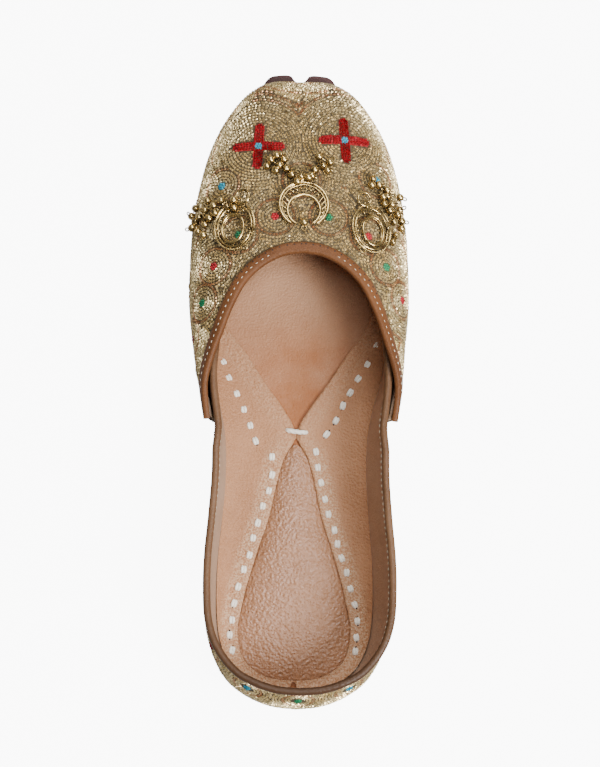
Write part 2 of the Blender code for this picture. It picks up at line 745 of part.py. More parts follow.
def polar_plate(frame, radii, sectors, cells, thickness, lift):
    """Points and faces of a flat plate cut out of rings and sectors round a charm's middle."""
    middle, side, ahead, normal = frame
    points, faces = [], []
    angles = 2 * math.pi * np.arange(sectors) / sectors
    for height in (lift + thickness, lift):
        for radius in radii:
            for angle in angles:
                points.append(middle + normal * height
                              + side * radius * math.sin(angle) + ahead * radius * math.cos(angle))
    layer = len(radii) * sectors

    def corner(ring, sector):
        return ring * sectors + sector % sectors

    for ring, sector in sorted(cells):
        a, b = corner(ring, sector), corner(ring + 1, sector)
        c, d = corner(ring + 1, sector + 1), corner(ring, sector + 1)
        faces += [(a, b, c, d), (layer + d, layer + c, layer + b, layer + a)]
        borders = (((ring - 1, sector), a, d), ((ring + 1, sector), c, b),
                   ((ring, (sector - 1) % sectors), b, a), ((ring, (sector + 1) % sectors), d, c))
        faces += [(p, q, layer + q, layer + p) for beside, p, q in borders if beside not in cells]
    used = sorted({k for face in faces for k in face})
    number = {k: i for i, k in enumerate(used)}
    return [points[k] for k in used], [tuple(number[k] for k in face) for face in faces]


def charm_cells(sectors, rings, spokes, open_ring):
    """Cells of a charm: whole rings, and spokes in the open ring between them."""
    cells = {(ring, sector) for ring in rings for sector in range(sectors)}
    return cells | {(open_ring, sector) for sector in spokes}


def make_charms(finish):
    """Three flat wire charms: a crescent in the middle and a double ring at each side."""
    lift = VAMP_WALL - OVERLAP + GAP
    sectors = 24
    y = HALF - CHARM_FROM_TOE
    wire = 0.09
    radii = np.array((0.50, 0.59, 1 - wire, 1.0)) * CHARM_RADIUS
    cells = charm_cells(sectors, (0, 2), (0, 4, 8, 12, 16, 20), 1)
    points, faces = polar_plate(charm_frame(0.0, y), radii, sectors, cells, CHARM_THICKNESS, lift)
    make("charm_centre", points, faces, finish, mirrored=False)
    right = charm_frame(SIDE_CHARM_SHARE * BALL_HALF, y - SIDE_CHARM_BACK)
    radii = np.array((0.36, 0.45, 0.70, 0.78, 1 - wire, 1.0)) * CHARM_RADIUS
    cells = charm_cells(sectors, (0, 2, 4), (3, 9, 15, 21), 1) | {(3, sector) for sector in (0, 6, 12, 18)}
    for name, frame in (("charm_left", mirrored_frame(right)), ("charm_right", right)):
        points, faces = polar_plate(frame, radii, sectors, cells, CHARM_THICKNESS, lift)
        make(name, points, faces, finish, mirrored=False)


def mirrored_frame(frame):
    """The same frame on the left side of the shoe."""
    flip = np.array((-1.0, 1.0, 1.0))
    middle, side, ahead, normal = frame
    return middle * flip, -side * flip, ahead * flip, normal * flip


def ball_mesh(centre, radius, work):
    """Low ball added to a mesh."""
    made = bmesh.ops.create_uvsphere(work, u_segments=7, v_segments=5, radius=radius * MM)
    bmesh.ops.translate(work, verts=made["verts"], vec=tuple(np.asarray(centre) * MM))


def wire_mesh(path, diameter, work):
    """Five-sided wire through a row of points."""
    path = np.asarray(path)
    run = np.gradient(path, axis=0)
    run /= np.linalg.norm(run, axis=1, keepdims=True)
    up = np.array((0.0, 0.0, 1.0))
    rings = []
    for point, ahead in zip(path, run):
        side = np.cross(ahead, up)
        side /= np.linalg.norm(side)
        over = np.cross(side, ahead)
        rings.append([
            work.verts.new((point + (side * math.cos(a) + over * math.sin(a)) * diameter / 2) * MM)
            for a in 2 * math.pi * np.arange(5) / 5
        ])
    for near, far in zip(rings, rings[1:]):
        for k in range(5):
            work.faces.new((near[k], near[(k + 1) % 5], far[(k + 1) % 5], far[k]))
    work.faces.new(rings[0][::-1])
    work.faces.new(rings[-1])


def finish_mesh(name, work, finish):
    """Object from a bmesh, shaded smooth."""
    bmesh.ops.recalc_face_normals(work, faces=work.faces)
    mesh = bpy.data.meshes.new(name)
    work.to_mesh(mesh)
    work.free()
    mesh.shade_smooth()
    mesh.materials.append(finish)
    made = bpy.data.objects.new(name, mesh)
    bpy.context.scene.collection.objects.link(made)
    return made


def make_bells(name, frame, rows, side, finish):
    """Bells strung on one wire, each bell 0.3 mm off the vamp."""
    middle, axis_x, axis_y, _ = frame
    radius = BELL_DIAMETER / 2
    lift = VAMP_WALL - OVERLAP + GAP + radius
    centres = []
    for across, along in rows:
        s, up = seat(middle, (axis_x, axis_y), abs(across) * CHARM_RADIUS, along * CHARM_RADIUS)
        point = last(s, up) + skin_normal(s, up) * lift
        flip = side if side else (1.0 if across > 0 else -1.0)
        centres.append(point * (flip, 1.0, 1.0))
    balls, wire = bmesh.new(), bmesh.new()
    for centre in centres:
        ball_mesh(centre, radius, balls)
    wire_mesh(centres, BELL_WIRE, wire)
    made = finish_mesh(name, balls, finish)
    string = finish_mesh(name + "_wire", wire, finish)
    string.hide_render = True
    string.display_type = "WIRE"
    join = made.modifiers.new("wire", "BOOLEAN")
    join.operation = "UNION"
    join.solver = "EXACT"
    join.object = string


def main():
    for old in list(bpy.data.objects):
        bpy.data.objects.remove(old)
    zari = material("zari_embroidery", (0.52, 0.42, 0.25), 0.45, 0.35)
    sole_leather = material("sole_leather", (0.06, 0.022, 0.02), 0.55)
    footbed = material("footbed_leather", (0.50, 0.29, 0.19), 0.50)
    wings = material("wing_leather", (0.53, 0.32, 0.22), 0.55)
    pad = material("pad_leather", (0.47, 0.27, 0.18), 0.35)
    band = material("throat_leather", (0.27, 0.12, 0.045), 0.42)
    rim = material("collar_leather", (0.40, 0.20, 0.10), 0.45)
    brass = material("antique_brass", (0.42, 0.31, 0.13), 0.38, 0.9)
    make_outsole(sole_leather)
    make_insole(footbed)
    make_wing("wing_right", 1.0, wings)
    make_wing("wing_left", -1.0, wings)
    make_heel_pad(pad)
    make_upper(zari)
    make_throat_binding(band)
    make_collar_binding(rim)
    make_charms(brass)
    y = HALF - CHARM_FROM_TOE
    side_frame = charm_frame(SIDE_CHARM_SHARE * BALL_HALF, y - SIDE_CHARM_BACK)
    make_bells("bells_centre", charm_frame(0.0, y), CENTRE_BELLS, 0, brass)
    make_bells("bells_right", side_frame, SIDE_BELLS, 1.0, brass)
    make_bells("bells_left", side_frame, SIDE_BELLS, -1.0, brass)


main()
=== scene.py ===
"""Looks of the mojari shoe: zari embroidery, leather footbed and bindings, brass charms.

Lengths are in millimetres until a mesh is made. The last's form is worked out here
again, so that every stitch, band and bell lies on it.
"""
import json
import math

import bmesh
import bpy
import numpy as np
from mathutils import Matrix, Vector
from mathutils.kdtree import KDTree

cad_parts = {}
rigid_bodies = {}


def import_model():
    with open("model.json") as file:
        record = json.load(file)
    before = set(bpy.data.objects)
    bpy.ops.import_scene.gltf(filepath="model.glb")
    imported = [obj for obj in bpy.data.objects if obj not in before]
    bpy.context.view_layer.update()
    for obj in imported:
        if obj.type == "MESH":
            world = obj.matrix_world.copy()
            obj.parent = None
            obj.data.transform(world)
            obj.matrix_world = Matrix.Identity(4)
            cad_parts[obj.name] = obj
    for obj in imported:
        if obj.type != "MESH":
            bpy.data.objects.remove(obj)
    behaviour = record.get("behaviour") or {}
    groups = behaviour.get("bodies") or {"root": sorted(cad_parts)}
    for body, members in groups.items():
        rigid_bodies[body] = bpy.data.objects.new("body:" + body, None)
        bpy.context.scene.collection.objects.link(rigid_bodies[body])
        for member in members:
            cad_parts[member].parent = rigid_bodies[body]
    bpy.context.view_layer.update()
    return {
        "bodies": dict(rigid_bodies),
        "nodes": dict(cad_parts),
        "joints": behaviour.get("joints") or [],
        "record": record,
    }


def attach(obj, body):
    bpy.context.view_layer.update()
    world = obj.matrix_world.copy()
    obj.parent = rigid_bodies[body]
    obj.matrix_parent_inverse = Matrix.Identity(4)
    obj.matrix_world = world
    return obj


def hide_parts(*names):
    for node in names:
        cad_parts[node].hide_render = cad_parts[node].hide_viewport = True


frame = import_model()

MM = 0.001

# Sizes of the solids that the looks follow
LENGTH = 247.6
BALL_WIDTH = 85.0
WAIST_WIDTH = 66.0
HEEL_WIDTH = 71.6
THROAT_RISE = 39.5
COLLAR_RISE = 40.0
THROAT_FROM_TOE = 77.0
TIP_FROM_TOE = 139.2
QUARTER_FRONT_FROM_TOE = 99.2
VAMP_WALL = 2.5
QUARTER_WALL = 2.2
OVERLAP = 0.5
GAP = 0.3
QUARTER_LEAN = 1.5
WALL_FLARE = 4.5
HEEL_BELLY = 5.0
ARCH_POWER = 2.3
STRAIGHT_LEAN = 0.6
TOE_CROWN_LENGTH = 18.5
SOLE_THICKNESS = 4.5
HEEL_THICKNESS = 6.0
TOE_SPRING = 7.0
SPRING_LENGTH = 64.0
ARCH_RISE = 1.6
SOLE_LEDGE = 0.8
EDGE_STEP = 0.6
NOTCH_WIDTH = 5.0
NOTCH_DEPTH = 2.4
LUG_WIDTH = 25.0
INSOLE_THICKNESS = 1.8
WING_THICKNESS = 1.2
WING_COVE = 2.4
WING_REACH = 1.3
PAD_CROWN = 4.4
PAD_SETBACK = 3.0
THROAT_BAND = 4.5
THROAT_BAND_THICKNESS = 2.3
COLLAR_BAND = 2.8
CHARM_FROM_TOE = 58.8
SIDE_CHARM_SHARE = 0.609
SIDE_CHARM_BACK = 8.0
BELL_DIAMETER = 3.2
CHARM_LIFT = 1.1

# Sizes of the stitching
ROW_PITCH = 1.24
STITCH_PITCH = 1.25
STROKE = (1.5, 0.5, 0.52)
STROKE_SPLAY = 15.0
CLOTH_FACE = 1.55
CROSS_ARM = 10.2
CROSS_HALF_WIDTH = 2.0
DOT_RADIUS = 1.7
STRAND = 0.62
VAMP_REACH = 46.0
VAMP_BEND = 52.0
QUARTER_REACH = 24.0
QUARTER_BEND = 90.0
VIEW_HEIGHT = 950.0

HALF = LENGTH / 2
VAMP_FACE = VAMP_WALL - OVERLAP
BALL_HALF = BALL_WIDTH / 2 - VAMP_FACE
WAIST_HALF = WAIST_WIDTH / 2
HEEL_HALF = HEEL_WIDTH / 2

# Line of the wall's widest points, as shares of the sizes above.
#    along   ball   waist  heel   flare  belly  rise
WALL = np.array((
    (0.948, 0.000, 0.00, 0.000, 0.20, 0.00, 0.08),
    (0.951, 0.155, 0.00, 0.000, 0.20, 0.00, 0.08),
    (0.944, 0.305, 0.00, 0.000, 0.22, 0.00, 0.09),
    (0.920, 0.445, 0.00, 0.000, 0.26, 0.00, 0.11),
    (0.850, 0.632, 0.00, 0.000, 0.32, 0.00, 0.16),
    (0.763, 0.780, 0.00, 0.000, 0.36, 0.00, 0.20),
    (0.655, 0.888, 0.00, 0.000, 0.40, 0.00, 0.24),
    (0.528, 0.962, 0.00, 0.000, 0.42, 0.00, 0.27),
    (0.368, 0.998, 0.00, 0.000, 0.45, 0.00, 0.30),
    (0.247, 1.000, 0.00, 0.000, 0.50, 0.00, 0.34),
    (0.118, 0.700, 0.32, 0.000, 0.62, 0.00, 0.46),
    (0.005, 0.420, 0.61, 0.000, 0.78, 0.00, 0.63),
    (-0.084, 0.150, 0.87, 0.000, 0.92, 0.00, 0.77),
    (-0.167, 0.000, 1.01, 0.000, 1.00, 0.00, 0.835),
    (-0.278, 0.000, 1.00, 0.000, 1.02, 0.00, 0.84),
    (-0.423, 0.000, 0.50, 0.495, 1.02, 0.05, 0.86),
    (-0.544, 0.000, 0.15, 0.855, 1.00, 0.10, 0.89),
    (-0.641, 0.000, 0.00, 1.000, 0.96, 0.14, 0.92),
    (-0.738, 0.000, 0.00, 0.976, 0.84, 0.20, 0.95),
    (-0.801, 0.000, 0.00, 0.912, 0.60, 0.32, 0.97),
    (-0.853, 0.000, 0.00, 0.806, 0.30, 0.50, 0.98),
    (-0.900, 0.000, 0.00, 0.650, 0.00, 0.72, 0.99),
    (-0.927, 0.000, 0.00, 0.478, -0.20, 0.86, 1.00),
    (-0.949, 0.000, 0.00, 0.240, -0.34, 0.96, 1.00),
    (-0.955, 0.000, 0.00, 0.000, -0.40, 1.00, 1.00),
))
#    along   rise
RIDGE = np.array((
    (1.000, 0.20),
    (0.813, 0.53),
    (0.732, 0.67),
    (0.651, 0.78),
    (0.570, 0.87),
    (0.489, 0.94),
    (0.378, 1.00),
    (0.166, 1.14),
    (-0.126, 1.30),
    (-1.000, 1.60),
))[::-1]
#    back   up
THROAT = np.array((
    (0.000, 1.000),
    (0.015, 0.920),
    (0.060, 0.830),
    (0.170, 0.700),
    (0.325, 0.593),
    (0.495, 0.482),
    (0.640, 0.367),
    (0.815, 0.190),
    (1.000, 0.020),
))
#    along   across  round
WING = np.array((
    (0.257, 0.900, 0.000),
    (0.199, 0.833, 0.030),
    (0.102, 0.585, 0.085),
    (0.005, 0.348, 0.150),
    (-0.068, 0.152, 0.205),
    (-0.137, 0.021, 0.255),
    (-0.165, 0.021, 0.280),
    (-0.221, 0.130, 0.325),
    (-0.294, 0.210, 0.375),
    (-0.407, 0.303, 0.450),
    (-0.520, 0.440, 0.530),
    (-0.674, 0.600, 0.640),
    (-0.779, 0.655, 0.725),
    (-0.855, 0.575, 0.805),
    (-0.897, 0.390, 0.880),
    (-0.912, 0.200, 0.945),
    (-0.916, 0.012, 0.990),
))


def smooth_step(value):
    """Ease from 0 to 1, level at both ends."""
    share = np.clip(value, 0.0, 1.0)
    return share * share * (3 - 2 * share)


def spline(places, values, at):
    """Cubic through the given values, with slopes taken from the neighbouring rows."""
    slope = np.gradient(values, places)
    at = np.clip(at, places[0], places[-1])
    low = np.clip(np.searchsorted(places, at, side="right") - 1, 0, len(places) - 2)
    span = places[low + 1] - places[low]
    share = (at - places[low]) / span
    square, cube = share ** 2, share ** 3
    start = (2 * cube - 3 * square + 1) * values[low] + (cube - 2 * square + share) * span * slope[low]
    end = (3 * square - 2 * cube) * values[low + 1] + (cube - square) * span * slope[low + 1]
    return start + end


def chord_places(points):
    """Distance run along a row of points."""
    steps = np.linalg.norm(np.diff(points, axis=0), axis=1)
    return np.concatenate(([0.0], np.cumsum(steps)))


def unit(vectors):
    """Vectors of length one."""
    return vectors / np.linalg.norm(vectors, axis=-1, keepdims=True)


def sole_bottom(y):
    """Underside: level at heel and ball, a squared sine at the arch, a parabola at the toe."""
    arch = np.clip((y + 0.50 * HALF) / (0.66 * HALF), 0.0, 1.0)
    spring = np.clip((y - HALF + SPRING_LENGTH) / SPRING_LENGTH, 0.0, None)
    return ARCH_RISE * np.sin(math.pi * arch) ** 2 + TOE_SPRING * spring ** 2


def sole_top(y):
    """Upper side of the sole, thicker under the heel by a smooth step."""
    heel = smooth_step((-y - 0.05 * HALF) / (0.45 * HALF))
    return sole_bottom(y) + SOLE_THICKNESS + (HEEL_THICKNESS - SOLE_THICKNESS) * heel


WALL_POINTS = np.stack([
    WALL[:, 1] * BALL_HALF + WALL[:, 2] * WAIST_HALF + WALL[:, 3] * HEEL_HALF,
    WALL[:, 0] * HALF,
], axis=1)
WALL_PLACES = chord_places(WALL_POINTS)
WALL_RUN = WALL_PLACES[-1]


def wall_line(s):
    """Widest line at distance s from the toe: point, outward normal, flare, belly and rise."""
    def place(at):
        return np.stack([spline(WALL_PLACES, WALL_POINTS[:, k], at) for k in (0, 1)], axis=-1)
    step = 0.5
    run = place(np.clip(s + step, 0, WALL_RUN)) - place(np.clip(s - step, 0, WALL_RUN))
    run[..., 1] = np.where((s < step) | (s > WALL_RUN - step), 0.0, run[..., 1])
    run = unit(run)
    normal = np.stack([-run[..., 1], run[..., 0]], axis=-1)
    flare, belly, rise = (spline(WALL_PLACES, WALL[:, k], s) for k in (4, 5, 6))
    return place(s), normal, flare * WALL_FLARE, belly * HEEL_BELLY, rise * COLLAR_RISE


DENSE_S = np.linspace(0, WALL_RUN, 1200)
DENSE_Y = wall_line(DENSE_S)[0][:, 1]
SIDE_START = int(np.argmax(DENSE_Y)) + 1
FAN_END_Y = HALF - THROAT_FROM_TOE + 16.0


def station_at(y):
    """Distance along the widest line at which the side of the shoe has this y."""
    return np.interp(-np.asarray(y, float), -DENSE_Y[SIDE_START:], DENSE_S[SIDE_START:])


FAN_RUN = float(station_at(FAN_END_Y))
RIDGE_FRONT = WALL_POINTS[0, 1] - TOE_CROWN_LENGTH


def ridge_y(s):
    """Where the section from station s meets the crown line. The toe's sections fan out."""
    fan = RIDGE_FRONT + (FAN_END_Y - RIDGE_FRONT) * s / FAN_RUN
    return np.where(s < FAN_RUN, fan, wall_line(s)[0][..., 1])


DENSE_RIDGE = ridge_y(DENSE_S)


def ridge_height(y):
    """Height of the crown line above the floor."""
    return sole_top(y) + GAP + THROAT_RISE * spline(RIDGE[:, 0], RIDGE[:, 1], y / HALF)


def last(s, up):
    """Point on the last: up runs 0 at the sole, 1 at the widest line, 2 at the crown.

    Below the widest line the wall leans out as a quarter sine, straighter where it
    ends in a rim, and the heel adds a belly. Above it the section is a superellipse
    between the widest point and the crown, tilted to the crown line's own slope.
    """
    s, up = np.broadcast_arrays(np.asarray(s, float), np.asarray(up, float))
    wide, normal, flare, belly, rise = wall_line(s)
    foot = wide - normal * flare[..., None]
    low = np.clip(up, 0, 1)
    straight = STRAIGHT_LEAN * smooth_step((rise / COLLAR_RISE - 0.45) / 0.3)
    lean = ((1 - straight) * np.sin(low * math.pi / 2) + straight * low)[..., None]
    plan = foot + (wide - foot) * lean + normal * (belly * np.sin(math.pi * low))[..., None]
    base = sole_top(wide[..., 1]) + GAP
    height = base + rise * low
    angle = np.clip(up - 1, 0, 1) * math.pi / 2
    crown_y = ridge_y(s)
    crown = np.stack([np.zeros_like(crown_y), crown_y], axis=-1)
    in_share = np.clip(np.cos(angle), 0, 1) ** (2 / ARCH_POWER)
    up_share = np.sin(angle) ** (2 / ARCH_POWER)
    over = up > 1
    plan = np.where(over[..., None], crown + (wide - crown) * in_share[..., None], plan)
    slope = (ridge_height(crown_y + 0.5) - ridge_height(crown_y - 0.5)) * in_share * (1 - in_share)
    arch = (ridge_height(crown_y) - base - rise) * up_share + slope * (wide[..., 1] - crown_y)
    height = np.where(over, base + rise + arch, height)
    return np.concatenate([plan, height[..., None]], axis=-1)


def slopes(s, up):
    """Change of the last's point with s and with up."""
    ds, du = 0.4, 0.004
    up = np.clip(up, 0.004, 1.992)
    along = last(np.clip(s + ds, 0, WALL_RUN), up) - last(np.clip(s - ds, 0, WALL_RUN), up)
    return along / (2 * ds), (last(s, up + du) - last(s, up - du)) / (2 * du)


def skin_normal(s, up):
    """Outward normal of the last."""
    s, up = np.broadcast_arrays(np.asarray(s, float), np.asarray(up, float))
    along, round_ = slopes(s, up)
    normal = np.cross(round_, along)
    normal[..., 0] = np.where((s < 1e-6) | (s > WALL_RUN - 1e-6) | (up > 1.9999), 0.0, normal[..., 0])
    return unit(normal)


def skin(s, up, offset):
    """Point a given distance outside the last, level with the sole at its foot."""
    point = last(s, up)
    normal = skin_normal(s, up).copy()
    foot = np.broadcast_to(np.asarray(up, float), point.shape[:-1]) < 1e-6
    normal[..., 2] = np.where(foot, 0.0, normal[..., 2])
    return point + unit(normal) * np.asarray(offset, float)[..., None]


def place_change(s, up, move, ease):
    """Least-squares change of s and up that moves the last's points by the given vectors."""
    basis = np.stack(slopes(s, up), axis=-1)
    square = np.einsum("nij,nik->njk", basis, basis) + np.eye(2) * ease
    return np.linalg.solve(square, np.einsum("nij,ni->nj", basis, move)[..., None])[..., 0]


def walk(s, up, distance):
    """Move on the last away from the throat, square to its edge."""
    s, up = s.copy(), up.copy()
    steps = 6
    for _ in range(steps):
        edge = np.gradient(last(s, up), axis=0)
        edge[0] = (1.0, 0.0, 0.0)
        away = np.cross(skin_normal(s, up), unit(edge))
        away[0, 0] = 0.0
        move = away * distance / steps
        change = place_change(s, up, move, 1e-9)
        y = last(s[:1], up[:1])[0, 1] + move[0, 1]
        s, up = s + change[:, 0], up + change[:, 1]
        s[0], up[0] = np.interp(-y, -DENSE_RIDGE, DENSE_S), 2.0
    return s, np.clip(up, 0, 2)


def throat_edge(count):
    """Stations and places on the wall along the throat, from its middle to the side tip."""
    middle_y, tip_y = HALF - THROAT_FROM_TOE, HALF - TIP_FROM_TOE
    y = middle_y + (tip_y - middle_y) * THROAT[:, 0]
    places = chord_places(last(station_at(y), 1 + THROAT[:, 1]))
    at = np.linspace(0, places[-1], count)
    up_at = 1 + spline(places, THROAT[:, 1], at)
    up_at[0] = 2.0
    return station_at(spline(places, y, at)), up_at


def rim_place(s):
    """Place on the wall at which the quarter's rim stands, in front under the vamp too."""
    wide, _, _, _, rise = wall_line(s)
    base = sole_top(wide[:, 1]) + GAP
    tip_rise = float(wall_line(station_at(HALF - TIP_FROM_TOE))[4])
    crown = ridge_height(ridge_y(s)) - base - rise
    over = np.clip((tip_rise - rise) / crown, 0.0, 1.0)
    front = wide[:, 1] > HALF - TIP_FROM_TOE
    return np.where(front, 1 + np.arcsin(over ** (ARCH_POWER / 2)) * 2 / math.pi, 1.0)


def under_vamp(s):
    """Share by which a station lies under the vamp's sides, 0 at the back, 1 in front."""
    return smooth_step((wall_line(s)[0][:, 1] - HALF + TIP_FROM_TOE + 13) / 12)


def foot_line(s, outset):
    """The wall's foot in plan, moved outwards."""
    wide, normal, flare, _, _ = wall_line(s)
    return wide + normal * (outset - flare)[:, None]


def insole_inset(y):
    """Room that the insole leaves for the wall: the vamp's in front, the quarter's behind."""
    behind = smooth_step((HALF - QUARTER_FRONT_FROM_TOE + 14 - y) / 12)
    return OVERLAP + GAP + (QUARTER_WALL - OVERLAP) * behind


def insole_edge(s):
    """Edge of the insole in plan."""
    return foot_line(s, -insole_inset(wall_line(s)[0][:, 1]))


def insole_top(y):
    """Height of the insole's face."""
    return sole_top(y) + GAP + INSOLE_THICKNESS


def wing_line(count):
    """Inner edge of a wing, and the share of the footbed's edge opposite."""
    points = np.column_stack([WING[:, 1] * WAIST_HALF, WING[:, 0] * HALF])
    places = chord_places(points)
    at = np.linspace(0, places[-1], count)
    line = np.column_stack([np.maximum(spline(places, points[:, 0], at), 0.6), spline(places, points[:, 1], at)])
    return line, spline(places, WING[:, 2], at)


# Node groups and materials


def new_group(name, inputs, outputs):
    """Empty shader group with float or colour sockets."""
    tree = bpy.data.node_groups.new(name, "ShaderNodeTree")
    for label, kind, value in inputs:
        socket = tree.interface.new_socket(label, in_out="INPUT", socket_type=kind)
        socket.default_value = value
    for label, kind in outputs:
        tree.interface.new_socket(label, in_out="OUTPUT", socket_type=kind)
    return tree, tree.nodes.new("NodeGroupInput"), tree.nodes.new("NodeGroupOutput")


def math_node(tree, operation, first, second):
    """Math node on two sockets or numbers."""
    node = tree.nodes.new("ShaderNodeMath")
    node.operation = operation
    for socket, value in zip(node.inputs, (first, second)):
        if isinstance(value, (int, float)):
            socket.default_value = value
        else:
            tree.links.new(value, socket)
    return node.outputs[0]


def mix_colour(tree, factor, first, second):
    """Mix node on two colours, given as sockets or tuples."""
    node = tree.nodes.new("ShaderNodeMix")
    node.data_type = "RGBA"
    for socket, value in ((node.inputs[0], factor), (node.inputs[6], first), (node.inputs[7], second)):
        if isinstance(value, tuple):
            socket.default_value = (*value, 1.0)
        elif isinstance(value, (int, float)):
            socket.default_value = value
        else:
            tree.links.new(value, socket)
    return node.outputs[2]


def ramp(tree, value, low, high):
    """Value mapped from low..high to 0..1."""
    node = tree.nodes.new("ShaderNodeMapRange")
    node.inputs["From Min"].default_value = low
    node.inputs["From Max"].default_value = high
    tree.links.new(value, node.inputs["Value"])
    return node.outputs["Result"]


def noise(tree, vector, scale, detail):
    """Noise texture's value."""
    node = tree.nodes.new("ShaderNodeTexNoise")
    node.inputs["Detail"].default_value = detail
    node.inputs["Scale"].default_value = scale
    tree.links.new(vector, node.inputs["Vector"])
    return node.outputs[0]


def leather_group():
    """Leather grain: height is cells + 0.7 creases + 0.35 fine noise; blotches from wide noise."""
    tree, into, out = new_group(
        "leather_grain",
        (("Vector", "NodeSocketVector", (0, 0, 0)), ("Pores", "NodeSocketFloat", 900.0)),
        (("Height", "NodeSocketFloat"), ("Blotch", "NodeSocketFloat"), ("Fine", "NodeSocketFloat")),
    )
    cells = tree.nodes.new("ShaderNodeTexVoronoi")
    cells.feature = "SMOOTH_F1"
    tree.links.new(into.outputs["Vector"], cells.inputs["Vector"])
    tree.links.new(into.outputs["Pores"], cells.inputs["Scale"])
    fine = noise(tree, into.outputs["Vector"], 2600.0, 2.0)
    creases = noise(tree, into.outputs["Vector"], 420.0, 4.0)
    height = math_node(tree, "ADD", cells.outputs["Distance"], math_node(tree, "MULTIPLY", creases, 0.7))
    height = math_node(tree, "ADD", height, math_node(tree, "MULTIPLY", fine, 0.35))
    tree.links.new(height, out.inputs["Height"])
    tree.links.new(noise(tree, into.outputs["Vector"], 38.0, 4.0), out.inputs["Blotch"])
    tree.links.new(fine, out.inputs["Fine"])
    return tree


LEATHER = leather_group()


def new_material(name):
    """Material with its Principled shader and object coordinates."""
    made = bpy.data.materials.new(name)
    made.use_nodes = True
    tree = made.node_tree
    shader = tree.nodes["Principled BSDF"]
    place = tree.nodes.new("ShaderNodeTexCoord").outputs["Object"]
    return made, tree, shader, place


def axis(tree, vector, name):
    """One coordinate of a vector socket."""
    split = tree.nodes.new("ShaderNodeSeparateXYZ")
    tree.links.new(vector, split.inputs[0])
    return split.outputs[name]


def given(tree, name):
    """Attribute node for the mesh attribute of this name."""
    node = tree.nodes.new("ShaderNodeAttribute")
    node.attribute_name = name
    return node


def scaled(tree, value, factor, offset):
    """Value times a factor plus an offset."""
    return math_node(tree, "ADD", math_node(tree, "MULTIPLY", value, factor), offset)


def add_bump(tree, shader, height, strength, distance):
    """Bump from a height socket."""
    bump = tree.nodes.new("ShaderNodeBump")
    bump.inputs["Strength"].default_value = strength
    bump.inputs["Distance"].default_value = distance
    tree.links.new(height, bump.inputs["Height"])
    tree.links.new(bump.outputs["Normal"], shader.inputs["Normal"])


def leather(name, colour, dark, roughness, pores, bump, colour_marks=None, depth=0.00022, gloss=0.2):
    """Leather: a base colour darkened in blotches, with grain, and further colour marks given by a function."""
    made, tree, shader, place = new_material(name)
    grain = tree.nodes.new("ShaderNodeGroup")
    grain.node_tree = LEATHER
    grain.inputs["Pores"].default_value = pores
    tree.links.new(place, grain.inputs["Vector"])
    tone = mix_colour(tree, ramp(tree, grain.outputs["Blotch"], 0.32, 0.68), dark, colour)
    pale = tuple(min(1.0, c * 1.16) for c in colour)
    tone = mix_colour(tree, ramp(tree, grain.outputs["Fine"], 0.45, 0.75), tone, pale)
    if colour_marks:
        tone = colour_marks(tree, place, tone)
    tree.links.new(tone, shader.inputs["Base Color"])
    worn = ramp(tree, grain.outputs["Blotch"], 0.2, 0.8)
    tree.links.new(scaled(tree, worn, 0.16, roughness - 0.08), shader.inputs["Roughness"])
    shader.inputs["Specular IOR Level"].default_value = gloss
    add_bump(tree, shader, grain.outputs["Height"], bump, depth)
    return made


def footbed_stains(tree, place, tone):
    """Warm rub towards the point where the wings cross, uneven by noise."""
    near = ramp(tree, axis(tree, place, "Y"), 0.046, -0.016)
    rub = math_node(tree, "MULTIPLY", near, noise(tree, place, 60.0, 4.0))
    factor = math_node(tree, "MINIMUM", math_node(tree, "MULTIPLY", rub, 2.3), 0.95)
    return mix_colour(tree, factor, tone, (0.27, 0.092, 0.028))


def heel_back_darkening(tree, place, tone):
    """Leather darker round the back of the heel."""
    back = ramp(tree, axis(tree, place, "Y"), -0.075, -0.112)
    return mix_colour(tree, back, tone, (0.055, 0.026, 0.012))


def rubbed_edge(tree, place, tone):
    """Paler, gritty strip along a wing's inner edge, from the mesh's rub attribute."""
    grit = ramp(tree, noise(tree, place, 1500.0, 2.0), 0.42, 0.62)
    strip = math_node(tree, "MULTIPLY", given(tree, "rub").outputs["Fac"], grit)
    return mix_colour(tree, math_node(tree, "MULTIPLY", strip, 0.55), tone, (0.60, 0.43, 0.28))


def thread_material(name, light, dark, metallic, roughness, rust=(0.36, 0.13, 0.06)):
    """Thread coloured stitch by stitch: the mesh's thread attribute holds tone and rust."""
    made, tree, shader, place = new_material(name)
    split = tree.nodes.new("ShaderNodeSeparateColor")
    tree.links.new(given(tree, "thread").outputs["Color"], split.inputs[0])
    tone = mix_colour(tree, split.outputs[0], dark, light)
    tone = mix_colour(tree, split.outputs[1], tone, rust)
    tree.links.new(tone, shader.inputs["Base Color"])
    strands = noise(tree, place, 3400.0, 1.0)
    tree.links.new(scaled(tree, strands, 0.2, roughness - 0.05), shader.inputs["Roughness"])
    shader.inputs["Metallic"].default_value = metallic
    add_bump(tree, shader, strands, 0.4, 0.0001)
    return made


def cloth_material(name, colour, dark):
    """Plain woven ground between the rows of stitches."""
    made, tree, shader, place = new_material(name)
    cells = tree.nodes.new("ShaderNodeTexVoronoi")
    cells.inputs["Scale"].default_value = 1400.0
    tree.links.new(place, cells.inputs["Vector"])
    tree.links.new(mix_colour(tree, cells.outputs["Distance"], colour, dark), shader.inputs["Base Color"])
    shader.inputs["Roughness"].default_value = 0.8
    add_bump(tree, shader, cells.outputs["Distance"], 0.6, 0.0002)
    return made


